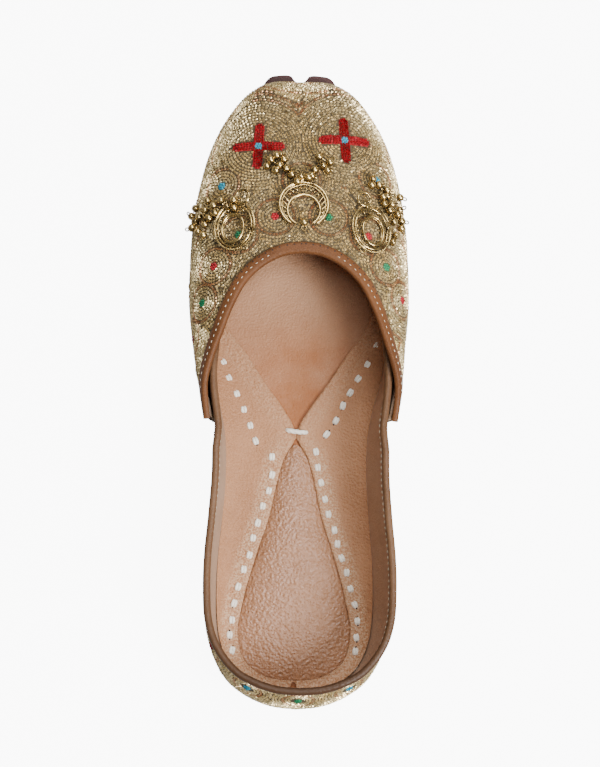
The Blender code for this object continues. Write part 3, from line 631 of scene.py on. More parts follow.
def brass_material():
    """Antique brass: painted highlight on its upward-facing side and painted shade on its underside, with brown patina
    in patches.
    """
    made, tree, shader, place = new_material("antique_brass")
    patches = noise(tree, place, 420.0, 4.0)
    facing = axis(tree, tree.nodes.new("ShaderNodeNewGeometry").outputs["Normal"], "Z")
    # Painted light: upward-facing wire is mixed towards bright brass as a highlight and its underside towards dark
    # brown as shade; the noise patches are patina.
    top_highlight_and_patina = math_node(tree, "MULTIPLY", ramp(tree, facing, 0.05, 0.85), ramp(tree, patches, 0.28, 0.5))
    tree.links.new(mix_colour(tree, top_highlight_and_patina, (0.085, 0.048, 0.018), (0.70, 0.50, 0.20)), shader.inputs["Base Color"])
    shader.inputs["Metallic"].default_value = 0.95
    tree.links.new(scaled(tree, patches, 0.26, 0.1), shader.inputs["Roughness"])
    add_bump(tree, shader, noise(tree, place, 2200.0, 2.0), 0.2, 0.00005)
    return made


# Meshes


def piece(name, points, faces, material, mirrored=False, sharp=40.0, stands_for=(), welded=True):
    """Object from points in millimetres, mirrored and welded at X = 0 where asked."""
    points = np.asarray(points, float).reshape(-1, 3) * MM
    work = bmesh.new()
    for side in ((1.0, -1.0) if mirrored else (1.0,)):
        corners = [work.verts.new((x * side, y, z)) for x, y, z in points]
        for face in faces:
            work.faces.new([corners[k] for k in face])
    if welded:
        bmesh.ops.remove_doubles(work, verts=work.verts, dist=2e-6)
        bmesh.ops.dissolve_degenerate(work, edges=work.edges, dist=1e-6)
    bmesh.ops.recalc_face_normals(work, faces=work.faces)
    mesh = bpy.data.meshes.new(name)
    work.to_mesh(mesh)
    work.free()
    return finish_piece(name, mesh, material, sharp, stands_for)


def finish_piece(name, mesh, material, sharp, stands_for=()):
    """Object that rides on the shoe, shaded smooth up to the given angle."""
    mesh.shade_smooth()
    mesh.set_sharp_from_angle(angle=math.radians(sharp))
    mesh.materials.append(material)
    made = bpy.data.objects.new(name, mesh)
    bpy.context.scene.collection.objects.link(made)
    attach(made, "root")
    if stands_for:
        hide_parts(*stands_for)
    return made


def grid_faces(rows, columns, start=0, wrap=False):
    """Quads of a grid whose points are numbered row by row."""
    around = columns if wrap else columns - 1
    return [
        (start + i * columns + j, start + (i + 1) * columns + j,
         start + (i + 1) * columns + (j + 1) % columns, start + i * columns + (j + 1) % columns)
        for i in range(rows - 1) for j in range(around)
    ]


def wall_faces(rows, columns, free_top, ends):
    """Faces of a wall between an outer and an inner grid, with its free edges closed."""
    inner = rows * columns
    faces = grid_faces(rows, columns) + [face[::-1] for face in grid_faces(rows, columns, inner)]
    for i in range(rows - 1):
        a, b = i * columns, (i + 1) * columns
        faces.append((a, inner + a, inner + b, b))
        if i >= free_top:
            a, b = a + columns - 1, b + columns - 1
            faces.append((a, b, inner + b, inner + a))
    for i in ends:
        for j in range(columns - 1):
            a = i * columns + j
            faces.append((a, a + 1, inner + a + 1, inner + a))
    return faces


def spread(low, high, shares):
    """Places between low and high for each row."""
    return low[:, None] + (high - low)[:, None] * np.asarray(shares)[None, :]


def make_vamp_layer(name, material, outside, inside, stands_for=()):
    """One layer of the vamp between two distances from the last."""
    edge_s, edge_up = throat_edge(60)
    edge_s, edge_up = walk(edge_s, edge_up, THROAT_BAND - 0.6)
    toe_s = edge_s[0] * np.linspace(0, 1, 56)[:-1] ** 0.9
    stations = np.concatenate([toe_s, edge_s])
    top = np.concatenate([np.full(len(toe_s), 2.0), edge_up])
    shares = np.linspace(0, 1, 40)
    up = spread(np.zeros_like(top), top, shares)
    s = np.repeat(stations[:, None], len(shares), axis=1)
    grids = [skin(s, up, np.full(s.shape, offset)) for offset in (outside, inside)]
    for grid in grids:
        grid[:len(toe_s) + 1, -1, 0] = 0.0
        grid[0, :, 0] = 0.0
    faces = wall_faces(len(stations), len(shares), len(toe_s), (len(stations) - 1,))
    piece(name, grids, faces, material, mirrored=True, stands_for=stands_for)


def quarter_stations(count):
    """Stations of the quarter, from its front end under the vamp to the heel's middle."""
    front = float(station_at(HALF - QUARTER_FRONT_FROM_TOE))
    return front + (WALL_RUN - front) * np.linspace(0, 1, count)


def make_quarter_layer(name, material, outside, inside):
    """One layer of the quarter between two distances from the last."""
    stations = quarter_stations(110)
    tucked = under_vamp(stations)
    shares = np.linspace(0, 1, 24)
    up = spread(0.012 * tucked, rim_place(stations), shares)
    s = np.repeat(stations[:, None], len(shares), axis=1)
    lean = -QUARTER_LEAN * tucked[:, None] * shares[None, :] ** 1.5
    grids = [skin(s, up, lean + offset) for offset in (outside, inside)]
    for grid in grids:
        grid[-1, :, 0] = 0.0
    faces = wall_faces(len(stations), len(shares), 0, (0,))
    piece(name, grids, faces, material, mirrored=True)


def ring_strip(name, rings, material, end, stands_for):
    """Strip swept through closed rings of points, capped at one end and mirrored at X = 0."""
    rows, around = rings.shape[:2]
    faces = grid_faces(rows, around, wrap=True)
    faces.append(tuple(end * around + j for j in range(around)))
    piece(name, rings, faces, material, mirrored=True, sharp=60.0, stands_for=stands_for)


def throat_point(run, across, offset):
    """Points on the throat band: run is the share from its middle to the tip."""
    count = 160
    s, up = throat_edge(count)
    narrow = np.sqrt(np.maximum(0.04, 1 - np.clip((np.linspace(0, 1, count) - 0.955) / 0.045, 0, 1) ** 2))
    band_s, band_up = walk(s, up, THROAT_BAND * across)
    band_s = s + (band_s - s) * narrow
    band_up = up + (band_up - up) * narrow
    at = np.linspace(0, 1, count)
    band_s, band_up = np.interp(run, at, band_s), np.interp(run, at, band_up)
    return skin(band_s, band_up, np.full(band_s.shape, offset)), skin_normal(band_s, band_up)


def make_throat_binding(material):
    """Leather band folded over the throat's edge, with a shallow dip along its middle near the line of its stitches.
    """
    run = np.linspace(0, 1, 130)
    # Across the band from its free edge, and out from the last, as shares.
    profile = (
        (0.02, 0.10), (-0.02, 0.45), (0.03, 0.80), (0.14, 0.98), (0.32, 1.06), (0.50, 1.02), (0.66, 1.06),
        (0.84, 1.02), (0.95, 0.90), (1.0, 0.72), (1.0, 0.0), (0.5, 0.0), (0.1, 0.0),
    )
    rings = []
    for across, out in profile:
        points, _ = throat_point(run, max(across, 0.0), GAP + THROAT_BAND_THICKNESS * out)
        points[0, 0] = 0.0
        rings.append(points)
    rings = np.stack(rings, axis=1)
    ring_strip("throat_band", rings, material, len(run) - 1, ("throat_binding",))


def make_collar_binding(material):
    """Rolled leather rim that stands on the quarter's edge, an ellipse carried along it."""
    stations = quarter_stations(120)
    top = rim_place(stations)
    lean = -QUARTER_LEAN * under_vamp(stations)
    middle = skin(stations, top, lean - QUARTER_WALL / 2)
    out = skin_normal(stations, top)
    up = unit(slopes(stations, np.minimum(top, 1.99))[1])
    half_width, half_height = QUARTER_WALL / 2 + 0.35, COLLAR_BAND / 2
    rings = []
    for angle in 2 * math.pi * (np.arange(14) + 0.5) / 14:
        rise = GAP * 0.3 + half_height * (1 + math.sin(angle))
        points = middle + out * half_width * math.cos(angle) + up * rise
        points[-1, 0] = 0.0
        rings.append(points)
    ring_strip("collar_roll", np.stack(rings, axis=1), material, 0, ("collar_binding",))


def plate(name, outline, spine, profile, material, stands_for, sharp=50.0):
    """Closed plate: profile rows hold a share of the way out, an inset and a height of y."""
    columns = []
    out = outline - spine
    reach = np.linalg.norm(out, axis=1, keepdims=True)
    for share, inset, height in profile:
        plan = spine + out * share - out / reach * inset
        if share == 0:
            plan[:, 0] = 0.0
        plan[0, 0] = plan[-1, 0] = 0.0
        columns.append(np.column_stack([plan, height(plan[:, 1])]))
    points = np.stack(columns, axis=1)
    faces = grid_faces(*points.shape[:2])
    return piece(name, points, faces, material, mirrored=True, sharp=sharp, stands_for=stands_for)


def smooth_outline(points, count):
    """Curve through the given points, sampled evenly."""
    places = chord_places(points)
    at = np.linspace(0, places[-1], count)
    return np.column_stack([spline(places, points[:, k], at) for k in (0, 1)])


def sole_outline():
    """Edge of the sole: two lugs and a notch at the toe, then the wall's foot and a ledge."""
    shares = np.concatenate([np.linspace(0, 0.30, 40), np.linspace(0.31, 0.80, 60), np.linspace(0.805, 1, 40)])
    stations = shares * WALL_RUN
    y = wall_line(stations)[0][:, 1]
    side = smooth_step((y - HALF + TIP_FROM_TOE) / 24)
    outline = foot_line(stations, SOLE_LEDGE + VAMP_FACE * side)
    lug_half, notch_half = LUG_WIDTH / 2, NOTCH_WIDTH / 2
    reach = HALF - 0.55
    lug = np.array([
        (0.0, reach - NOTCH_DEPTH), (notch_half * 0.62, reach - NOTCH_DEPTH * 0.97),
        (notch_half * 0.92, reach - NOTCH_DEPTH * 0.72), (notch_half * 1.42, reach - 0.22), (notch_half * 1.7, reach),
        (lug_half * 0.66, reach - 0.02), (lug_half * 0.88, reach - 0.45), (lug_half * 1.0, reach - 1.3),
        (lug_half * 1.09, reach - 2.6),
    ])
    keep = (outline[:, 0] > lug_half * 1.15) | (outline[:, 1] < 0)
    return np.concatenate([smooth_outline(lug, 30), outline[keep]])


def make_outsole(material):
    """Leather sole with a stepped edge."""
    outline = sole_outline()
    run = chord_places(outline)
    run /= run[-1]
    spine = np.column_stack([np.zeros(len(outline)), HALF * (0.86 - 1.72 * run)])

    def above(drop):
        return lambda y: sole_top(y) - drop

    def under(lift):
        return lambda y: sole_bottom(y) + lift

    middle = 0.45 * SOLE_THICKNESS
    profile = [(share, 0.0, above(0.0)) for share in (0.0, 0.3, 0.6, 0.85)]
    profile += [
        (1.0, 0.35, above(0.0)), (1.0, 0.08, above(0.15)), (1.0, 0.0, above(0.5)), (1.0, 0.0, above(middle - 0.2)),
        (1.0, 0.15, above(middle)), (1.0, EDGE_STEP, above(middle + 0.25)), (1.0, EDGE_STEP - 0.1, under(1.2)),
        (1.0, EDGE_STEP + 0.1, under(0.5)), (1.0, EDGE_STEP + 0.5, under(0.1)), (1.0, EDGE_STEP + 0.9, under(0.0)),
    ]
    profile += [(share, 0.0, under(0.0)) for share in (0.85, 0.6, 0.3, 0.0)]
    plate("sole", outline, spine, profile, material, ("outsole",), sharp=45.0)


def make_insole(material):
    """Leather footbed."""
    stations = np.linspace(0, WALL_RUN, 160)
    run = stations / WALL_RUN
    spine = np.column_stack([np.zeros(len(run)), HALF * (0.80 - 1.58 * run)])

    def face(drop):
        return lambda y: insole_top(y) - drop

    def bottom(y):
        return sole_top(y) + GAP

    profile = [(share, 0.0, face(0.0)) for share in (0.0, 0.25, 0.5, 0.75)]
    profile += [(1.0, 0.9, face(0.0)), (1.0, 0.2, face(0.2)), (1.0, 0.0, face(0.7)), (1.0, 0.0, bottom)]
    profile += [(share, 0.0, bottom) for share in (0.5, 0.0)]
    plate("footbed", insole_edge(stations), spine, profile, material, ("insole",))


def wing_grid(count, shares, lift):
    """Points over a wing: shares run from its inner edge to the wall, with a cove there."""
    inner_edge, opposite = wing_line(count)
    first = float(station_at(WING[0][0] * HALF))
    outer_edge = insole_edge(first + (WALL_RUN - first) * opposite)
    outer_edge[:, 0] = np.maximum(outer_edge[:, 0], 0.6)
    shares = np.asarray(shares)
    span = outer_edge - inner_edge
    plan = inner_edge[:, None] + span[:, None] * shares[None, :, None]
    plan += (unit(span)[:, None] * WING_REACH * shares[None, :, None] ** 8)
    plan[..., 0] = np.where(plan[..., 0] < 0.75, 0.02, plan[..., 0])
    height = insole_top(plan[..., 1]) + GAP + lift + WING_COVE * shares[None, :] ** 5
    return np.concatenate([plan, height[..., None]], axis=-1)


def make_wing(name, side, material, stands_for):
    """Sewn leather wing with a rounded, slightly raised inner edge."""
    shares = np.array((0.0, 0.012, 0.03, 0.06, 0.12, 0.2, 0.3, 0.4, 0.5, 0.6, 0.7, 0.8, 0.9, 1.0))
    outer = wing_grid(160, shares, WING_THICKNESS)
    outer[:, :8, 2] += np.array((-0.55, 0.1, 0.32, 0.42, 0.38, 0.3, 0.2, 0.08))
    inner = wing_grid(160, shares, 0.0)
    rows, columns = outer.shape[:2]
    points = np.stack([outer, inner]) * (side, 1.0, 1.0)
    faces = wall_faces(rows, columns, 0, (0, rows - 1))
    made = piece(name, points, faces, material, stands_for=stands_for)
    flat = np.array([corner.co for corner in made.data.vertices])[:, :2] / MM * (side, 1.0)
    edge = wing_line(300)[0]
    away = np.min(np.linalg.norm(flat[:, None] - edge[None], axis=-1), axis=1)
    rub = smooth_step((8.5 - away) / 3.0) * (0.35 + 0.65 * smooth_step((WING[5][0] * HALF - flat[:, 1]) / 14))
    made.data.attributes.new("rub", "FLOAT", "POINT").data.foreach_set("value", rub.astype(np.float32))


def make_heel_pad(material):
    """Padded teardrop: a crowned leather cushion in the opening between the wings."""
    edge = wing_line(240)[0]
    edge = edge[edge[:, 1] < WING[6][0] * HALF - PAD_SETBACK]
    inside = unit(np.column_stack([np.gradient(edge[:, 1]), -np.gradient(edge[:, 0])]))
    edge = edge + inside * 0.05
    edge = edge[edge[:, 0] > 0.9]
    front, back = edge[0, 1] + 1.5, edge[-1, 1] - 0.2
    outline = np.concatenate([[(0.0, front)], edge, [(0.0, back)]])
    run = np.linspace(0, 1, len(outline))
    spine = np.column_stack([np.zeros(len(run)), front + (back - front) * (0.09 + 0.71 * run)])

    def lifted(share):
        crown = 0.12 + 0.88 * (1 - share ** 2.4) ** 0.85

        def height(y):
            narrow = smooth_step(0.07 + 1.5 * (front - y) / (front - back))
            return insole_top(y) + GAP + 0.4 + (PAD_CROWN - 0.4) * crown * (0.35 + 0.65 * narrow)
        return height

    def bottom(y):
        return insole_top(y) + GAP

    shares = (0.0, 0.2, 0.4, 0.55, 0.68, 0.78, 0.86, 0.92, 0.96, 0.985, 1.0)
    profile = [(share, 0.0, lifted(share)) for share in shares] + [(1.0, 0.0, bottom), (0.0, 0.0, bottom)]
    made = plate("heel_cushion", outline, spine, profile, material, ("heel_pad",))


# Stitches

# A stitch is a small hipped lump: six corners round its base and two along its crest.
LUMP_POINTS = np.array((
    (-0.5, 0.0, 0.0), (-0.2, -0.5, 0.0), (0.2, -0.5, 0.0), (0.5, 0.0, 0.0), (0.2, 0.5, 0.0), (-0.2, 0.5, 0.0),
    (-0.22, 0.0, 1.0), (0.22, 0.0, 1.0),
))
LUMP_FACES = np.array((
    (0, 1, 6), (1, 2, 7), (1, 7, 6), (2, 3, 7), (3, 4, 7), (4, 5, 6), (4, 6, 7), (5, 0, 6),
    (0, 5, 1), (1, 5, 4), (1, 4, 2), (2, 4, 3),
))


def stitch_mesh(name, centres, along, normal, size, material, thread=None):
    """Joined lumps: each has its centre, its direction, the surface's normal and its size."""
    count = len(centres)
    size = np.broadcast_to(np.asarray(size, float), (count, 3))
    across = unit(np.cross(normal, along))
    along = unit(np.cross(across, normal))
    shape = LUMP_POINTS[None] * size[:, None]
    points = (centres[:, None] + along[:, None] * shape[..., 0:1] + across[:, None] * shape[..., 1:2]
              + normal[:, None] * shape[..., 2:3])
    corners = len(LUMP_POINTS)
    faces = (LUMP_FACES[None] + (np.arange(count) * corners)[:, None, None]).reshape(-1, 3)
    mesh = bpy.data.meshes.new(name)
    mesh.vertices.add(count * corners)
    mesh.vertices.foreach_set("co", (points * MM).astype(np.float32).ravel())
    mesh.loops.add(faces.size)
    mesh.loops.foreach_set("vertex_index", faces.ravel().astype(np.int32))
    mesh.polygons.add(len(faces))
    mesh.polygons.foreach_set("loop_start", np.arange(0, faces.size, 3, dtype=np.int32))
    mesh.update(calc_edges=True)
    if thread is not None:
        layer = mesh.attributes.new("thread", "FLOAT_COLOR", "POINT")
        values = np.ones((count, corners, 4), np.float32)
        values[..., :3] = thread[:, None]
        layer.data.foreach_set("color", values.ravel())
    return finish_piece(name, mesh, material, 75.0)


DENSE_GRID_S, DENSE_GRID_UP = (
    part.ravel() for part in np.meshgrid(np.linspace(0, WALL_RUN, 460), np.linspace(0, 2, 150), indexing="ij")
)


def surface_tree():
    """Search tree over points of the last's right half."""
    points = last(DENSE_GRID_S, DENSE_GRID_UP)
    tree = KDTree(len(points))
    for k, point in enumerate(points):
        tree.insert(point, k)
    tree.balance()
    return tree


TREE = surface_tree()


def nearest_place(targets):
    """Places on the last nearest to points of the right half, by a search and Newton steps."""
    found = np.array([TREE.find(target)[1] for target in targets])
    s, up = DENSE_GRID_S[found], DENSE_GRID_UP[found]
    for _ in range(3):
        change = place_change(s, up, targets - last(s, up), 1e-6)
        s = np.clip(s + np.clip(change[:, 0], -2, 2), 0, WALL_RUN)
        up = np.clip(up + np.clip(change[:, 1], -0.05, 0.05), 0, 2)
    return s, up


EYE = np.array((-55.0, -99.0, VIEW_HEIGHT))
PHOTO_SCALE = 0.49
PHOTO_CENTRE = (418.0, 382.0)
PHOTO_TURN = 0.0105
PHOTO_SHIFT = (1.9, 0.6)


def floor_place(pixels):
    """Points of the floor that the photograph shows at the given pixels."""
    pixels = np.asarray(pixels, float)
    x = (pixels[:, 0] - PHOTO_CENTRE[0]) * PHOTO_SCALE
    y = (PHOTO_CENTRE[1] - pixels[:, 1]) * PHOTO_SCALE
    across, ahead = x + PHOTO_SHIFT[0] - PHOTO_TURN * y, y + PHOTO_SHIFT[1] + PHOTO_TURN * x
    return np.column_stack([across, ahead, np.zeros(len(x))])


def seen_place(pixels):
    """Places on the last that the photograph shows at the given pixels, found along the sight line."""
    floor = floor_place(pixels)
    sides, places = [], []
    ray = unit(floor - EYE)
    for k in range(len(pixels)):
        reach = np.linspace(0.94, 1.0, 200)[:, None] * np.linalg.norm(floor[k] - EYE)
        line = EYE + ray[k] * reach
        half = np.column_stack([np.abs(line[:, 0]), line[:, 1:]])
        s, up = nearest_place(half)
        gap = np.einsum("ij,ij->i", half - last(s, up), skin_normal(s, up)) - VAMP_FACE
        hit = int(np.argmax(gap < 0)) if (gap < 0).any() else int(np.argmin(np.abs(gap)))
        sides.append(1.0 if line[hit, 0] >= 0 else -1.0)
        places.append((s[hit], up[hit]))
    return np.array(places), np.array(sides)


# Motifs of the vamp by their pixel in the photograph, with the reach that their rings
# gain over their neighbours' rings.
#    x      y      kind     reach
MOTIFS = (
    (384.2, 184.4, "cross", 7.0),
    (454.6, 178.8, "cross", 7.0),
    (354.2, 218.0, "teal", 0.0),
    (480.3, 211.6, "teal", 0.0),
    (441.2, 242.2, "green", 0.0),
    (368.2, 257.6, "green", 0.0),
    (338.8, 313.6, "green", 0.0),
    (488.6, 282.7, "green", 0.0),
    (397.8, 242.2, "red", 0.0),
    (473.7, 257.9, "red", 0.0),
    (348.0, 283.6, "red", 0.0),
    (331.9, 343.0, "red", 0.0),
    (501.4, 310.0, "red", 0.0),
    (419.0, 212.0, "plain", 1.0),
)

# Motifs low on the vamp's sides, on both: distance ahead, place up the wall, kind.
SIDE_MOTIFS = (
    (104.0, 0.9, "plain"), (88.0, 0.7, "green"), (71.0, 0.8, "red"), (55.0, 0.55, "teal"), (38.0, 0.75, "green"),
    (22.0, 0.5, "red"), (4.0, 0.85, "teal"), (6.0, 0.35, "green"), (-9.0, 0.55, "red"),
)


def flips(sides):
    """Factors that mirror points of the right half to the given sides."""
    return np.column_stack([sides, np.ones_like(sides), np.ones_like(sides)])


def motif_frames(places, sides):
    """Centre, normal and two axes on the surface for each motif."""
    flip = flips(sides)
    centre = last(places[:, 0], places[:, 1]) * flip
    normal = skin_normal(places[:, 0], places[:, 1]) * flip
    ahead = unit(np.array((0.0, 1.0, 0.0)) - normal * normal[:, 1:2])
    return centre, normal, ahead, np.cross(ahead, normal)


def on_surface(targets):
    """Point, normal, station and place on the last nearest to each target, on either side."""
    flip = flips(np.where(targets[:, 0] < 0, -1.0, 1.0))
    s, up = nearest_place(targets * flip)
    return last(s, up) * flip, skin_normal(s, up) * flip, s, up


def ring_targets(frames, k, radii, bend, rng):
    """Stitch places on rings round motif k: circles drawn on a ball of radius bend."""
    centre, normal, ahead, side = (part[k] for part in frames)
    rows = []
    for number, radius in enumerate(radii):
        count = max(6, int(round(2 * math.pi * radius / STITCH_PITCH)))
        angle = 2 * math.pi * (np.arange(count) + rng.random() + rng.normal(0, 0.06, count)) / count
        reach, drop = bend * math.sin(radius / bend), bend * (1 - math.cos(radius / bend))
        out = side * np.cos(angle)[:, None] + ahead * np.sin(angle)[:, None]
        run = ahead * np.cos(angle)[:, None] - side * np.sin(angle)[:, None]
        rows.append((centre + out * reach - normal * drop, run, np.full(count, radius), np.full(count, number)))
    return [np.concatenate(part) for part in zip(*rows)]


def fill_rings(frames, weights, farthest, bend, inside, rng):
    """Concentric rows of stitches round every motif, each kept where its own motif is nearest."""
    centres = frames[0]
    kept = []
    for k in range(len(centres)):
        radii = np.arange(ROW_PITCH * 0.75, farthest, ROW_PITCH)
        target, run, radius, number = ring_targets(frames, k, radii, bend, rng)
        point, normal, s, up = on_surface(target)
        distance = np.linalg.norm(point[:, None] - centres[None], axis=-1) - weights[None]
        keep = (np.argmin(distance, axis=1) == k) & inside(s, up) & (np.linalg.norm(point - target, axis=1) < 15)
        kept.append([part[keep] for part in (point, run, normal, radius, number, np.full(len(s), k), s, up)])
    return [np.concatenate(part) for part in zip(*kept)]


def vamp_inside(margin):
    """Test for places on the vamp: above the sole and outside the throat band."""
    edge_s, edge_up = throat_edge(60)
    edge_s, edge_up = walk(edge_s, edge_up, THROAT_BAND + 0.4)

    def inside(s, up):
        top = np.where(s < edge_s[0], 2.1, np.interp(s, edge_s, edge_up))
        return (up < top) & (up > margin) & (s < edge_s[-1] - 0.4)
    return inside


def thread_values(rng, count, rust):
    """Tone and rust of each stitch."""
    bright = rng.random(count) < 0.7
    tone = np.where(bright, rng.normal(0.80, 0.13, count), rng.normal(0.4, 0.15, count))
    return np.column_stack([np.clip(tone, 0, 1), rust, np.zeros(count)])


def make_vamp_embroidery(materials):
    """Zari rows round the motifs, with crosses and dots in coloured thread."""
    rng = np.random.default_rng(7)
    places, sides = seen_place([row[:2] for row in MOTIFS])
    low = [(station_at(ahead), up, kind, side) for ahead, up, kind in SIDE_MOTIFS for side in (1.0, -1.0)]
    low.append((0.0, 1.0, "plain", 1.0))
    places = np.concatenate([places, [(row[0], row[1]) for row in low]])
    sides = np.concatenate([sides, [row[3] for row in low]])
    all_kinds = [row[2] for row in MOTIFS] + [row[2] for row in low]
    frames = motif_frames(places, sides)
    weights = np.array([row[3] for row in MOTIFS] + [-1.5] * len(low))
    rings = fill_rings(frames, weights, VAMP_REACH, VAMP_BEND, vamp_inside(0.03), rng)
    point, run, normal, radius, number, owner, _, _ = rings
    kinds = np.array(all_kinds)[owner]
    offset = point - frames[0][owner]
    a = np.abs(np.einsum("ij,ij->i", offset, frames[3][owner]))
    b = np.abs(np.einsum("ij,ij->i", offset, frames[2][owner]))
    short, long = np.minimum(a, b), np.maximum(a, b)
    in_cross = (short < CROSS_HALF_WIDTH + 0.15) & (long < CROSS_ARM + 0.35 - 1.1 * short)
    in_dot = radius < DOT_RADIUS + 0.3
    keep = ~((kinds == "cross") & in_cross) & ~((kinds != "plain") & in_dot)
    rust_row = ((kinds == "cross") & np.isin(number, (16, 18, 19))) | ((kinds != "cross") & (number % 7 == 5))
    rust = np.where(rust_row, 0.8, 0.0) * rng.uniform(0.5, 1.0, len(point))
    point, run, normal, rust, number = (part[keep] for part in (point, run, normal, rust, number))
    sew_rows("zari_rows_", point + normal * (CLOTH_FACE - 0.08), run, normal, rust, materials["zari"], rng)
    make_crosses(frames, materials, rng)
    for kind in ("teal", "green", "red"):
        chosen = [k for k, each in enumerate(all_kinds) if each == kind or (kind == "teal" and each == "cross")]
        make_dots(kind + "_dots", [part[chosen] for part in frames], materials[kind], rng, CLOTH_FACE)


def chain_strokes(point, run, normal, rng, wild=9.0):
    """Two strokes for each chain stitch, splayed to either side of its row like the link's strands."""
    across = unit(np.cross(normal, run))
    places, directions = [], []
    for hand in (1.0, -1.0):
        turn = np.radians(hand * STROKE_SPLAY + rng.normal(0, wild, len(point)))
        places.append(point + across * (0.22 * hand) + run * rng.normal(0, 0.06, len(point))[:, None])
        directions.append(run * np.cos(turn)[:, None] + across * np.sin(turn)[:, None])
    size = np.array(STROKE) * rng.normal(1.0, 0.09, (2 * len(point), 3))
    roll = unit(np.concatenate([normal, normal]) + rng.normal(0, 0.13, (2 * len(point), 3)))
    return np.concatenate(places), np.concatenate(directions), roll, size


def sew_rows(name, point, run, normal, rust, material, rng):
    """Rows of chain stitch as one piece for each side of the shoe."""
    base, turned, roll, size = chain_strokes(point, run, normal, rng)
    thread = thread_values(rng, len(base), np.concatenate([rust, rust]))
    for side, part in (("left", base[:, 0] < 0), ("right", base[:, 0] >= 0)):
        stitch_mesh(name + side, base[part], turned[part], roll[part], size[part],
                    material, thread[part])


def make_crosses(frames, materials, rng):
    """Red crosses: four rows of chain stitch along each arm, the outer two a little shorter."""
    centres, directions, normals = [], [], []
    for k in (0, 1):
        centre, normal, ahead, side = (part[k] for part in frames)
        for run, across in ((ahead, side), (side, ahead), (-ahead, side), (-side, ahead)):
            for row in (-1.5, -0.5, 0.5, 1.5):
                far = CROSS_ARM - 0.6 * row * row
                steps = np.arange(1.5, far, 1.08) + 0.3 * abs(row)
                narrow = 0.94 - 0.12 * (steps / far) ** 3
                drop = steps ** 2 / (2 * VAMP_BEND)
                target = centre + run * steps[:, None] + across * (row * narrow)[:, None] - normal * drop[:, None]
                point, out, _, _ = on_surface(target)
                centres.append(point + out * (CLOTH_FACE - 0.04))
                directions.append(np.broadcast_to(run, point.shape))
                normals.append(out)
    centres, directions, normals = (np.concatenate(part) for part in (centres, directions, normals))
    base, turned, roll, size = chain_strokes(centres, directions, normals, rng, 6.0)
    thread = thread_values(rng, len(base), np.zeros(len(base)))
    stitch_mesh("red_crosses", base, turned, roll, size * (1.0, 1.0, 1.35), materials["red"], thread)


def make_dots(name, frames, material, rng, face):
    """Dots: one stitch in the middle and a ring of six round it."""
    centres, directions, normals = [], [], []
    for centre, normal, ahead, side in zip(*frames):
        angle = np.linspace(0, 2 * math.pi, 7)[:-1] + rng.uniform(0, 1)
        out = side * np.cos(angle)[:, None] + ahead * np.sin(angle)[:, None]
        target = np.concatenate([[centre], centre + out * DOT_RADIUS * 0.62])
        point, up, _, _ = on_surface(target)
        centres.append(point + up * (face - 0.02))
        normals.append(up)
        directions.append(np.concatenate([[ahead], ahead * np.cos(angle)[:, None] - side * np.sin(angle)[:, None]]))
    centres, directions, normals = (np.concatenate(part) for part in (centres, directions, normals))
    count = len(centres)
    size = np.column_stack([np.full(count, 1.3), np.full(count, 1.1), rng.normal(0.75, 0.08, count)])
    thread = thread_values(rng, len(centres), np.zeros(len(centres)))
    stitch_mesh(name, centres, directions, normals, size, material, thread)


# Wire, bells and charms


def tube_rings(points, normals, radius, sides, closed):
    """Rings of a round wire: at each point a circle square to the path, started at the normal."""
    if closed:
        run = np.roll(points, -1, axis=0) - np.roll(points, 1, axis=0)
    else:
        run = np.gradient(points, axis=0)
    run = unit(run)
    side = unit(np.cross(run, normals))
    over = np.cross(side, run)
    angle = (2 * math.pi * np.arange(sides) / sides)[None, :, None]
    radius = np.broadcast_to(np.asarray(radius, float), (len(points),))[:, None, None]
    return points[:, None] + (side[:, None] * np.cos(angle) + over[:, None] * np.sin(angle)) * radius


def join_wires(name, wires, material, stands_for=()):
    """One piece from many wires, each given as points, normals, radius, sides and closed."""
    points, faces, start = [], [], 0
    for path, normals, radius, sides, closed in wires:
        rings = tube_rings(path, np.broadcast_to(normals, path.shape), radius, sides, closed)
        rows = len(path)
        faces += grid_faces(rows, sides, start, wrap=True)
        if closed:
            final = start + (rows - 1) * sides
            faces += [(final + j, start + j, start + (j + 1) % sides, final + (j + 1) % sides) for j in range(sides)]
        else:
            faces += [tuple(k + j for j in range(sides)) for k in (start, start + (rows - 1) * sides)]
        points.append(rings.reshape(-1, 3))
        start += rows * sides
    piece(name, np.concatenate(points), faces, material, sharp=60.0, stands_for=stands_for, welded=False)


def charm_frame(across, y):
    """Middle of a charm on the vamp and its axes across, ahead and outwards."""
    if across == 0:
        s, up = float(np.interp(-y, -DENSE_RIDGE, DENSE_S)), 2.0
    else:
        heights = np.linspace(30.0, 60.0, 200)
        line = np.column_stack([np.full(200, abs(across)), np.full(200, y), heights])
        s, up = nearest_place(line)
        near = int(np.argmin(np.linalg.norm(line - last(s, up), axis=1)))
        s, up = float(s[near]), float(up[near])
    normal, middle = skin_normal(s, up), last(s, up)
    side = unit(np.cross((0.0, 1.0, 0.0), normal))
    if across < 0:
        flip = np.array((-1.0, 1.0, 1.0))
        side, middle, normal = -side * flip, middle * flip, normal * flip
    return middle, side, np.cross(normal, side), normal


def flat_path(frame, across, ahead, height):
    """Points of a charm from its own plane, lifted off the last."""
    middle, side, forward, normal = frame
    return middle + side * across[:, None] + forward * ahead[:, None] + normal * np.asarray(height).reshape(-1, 1)


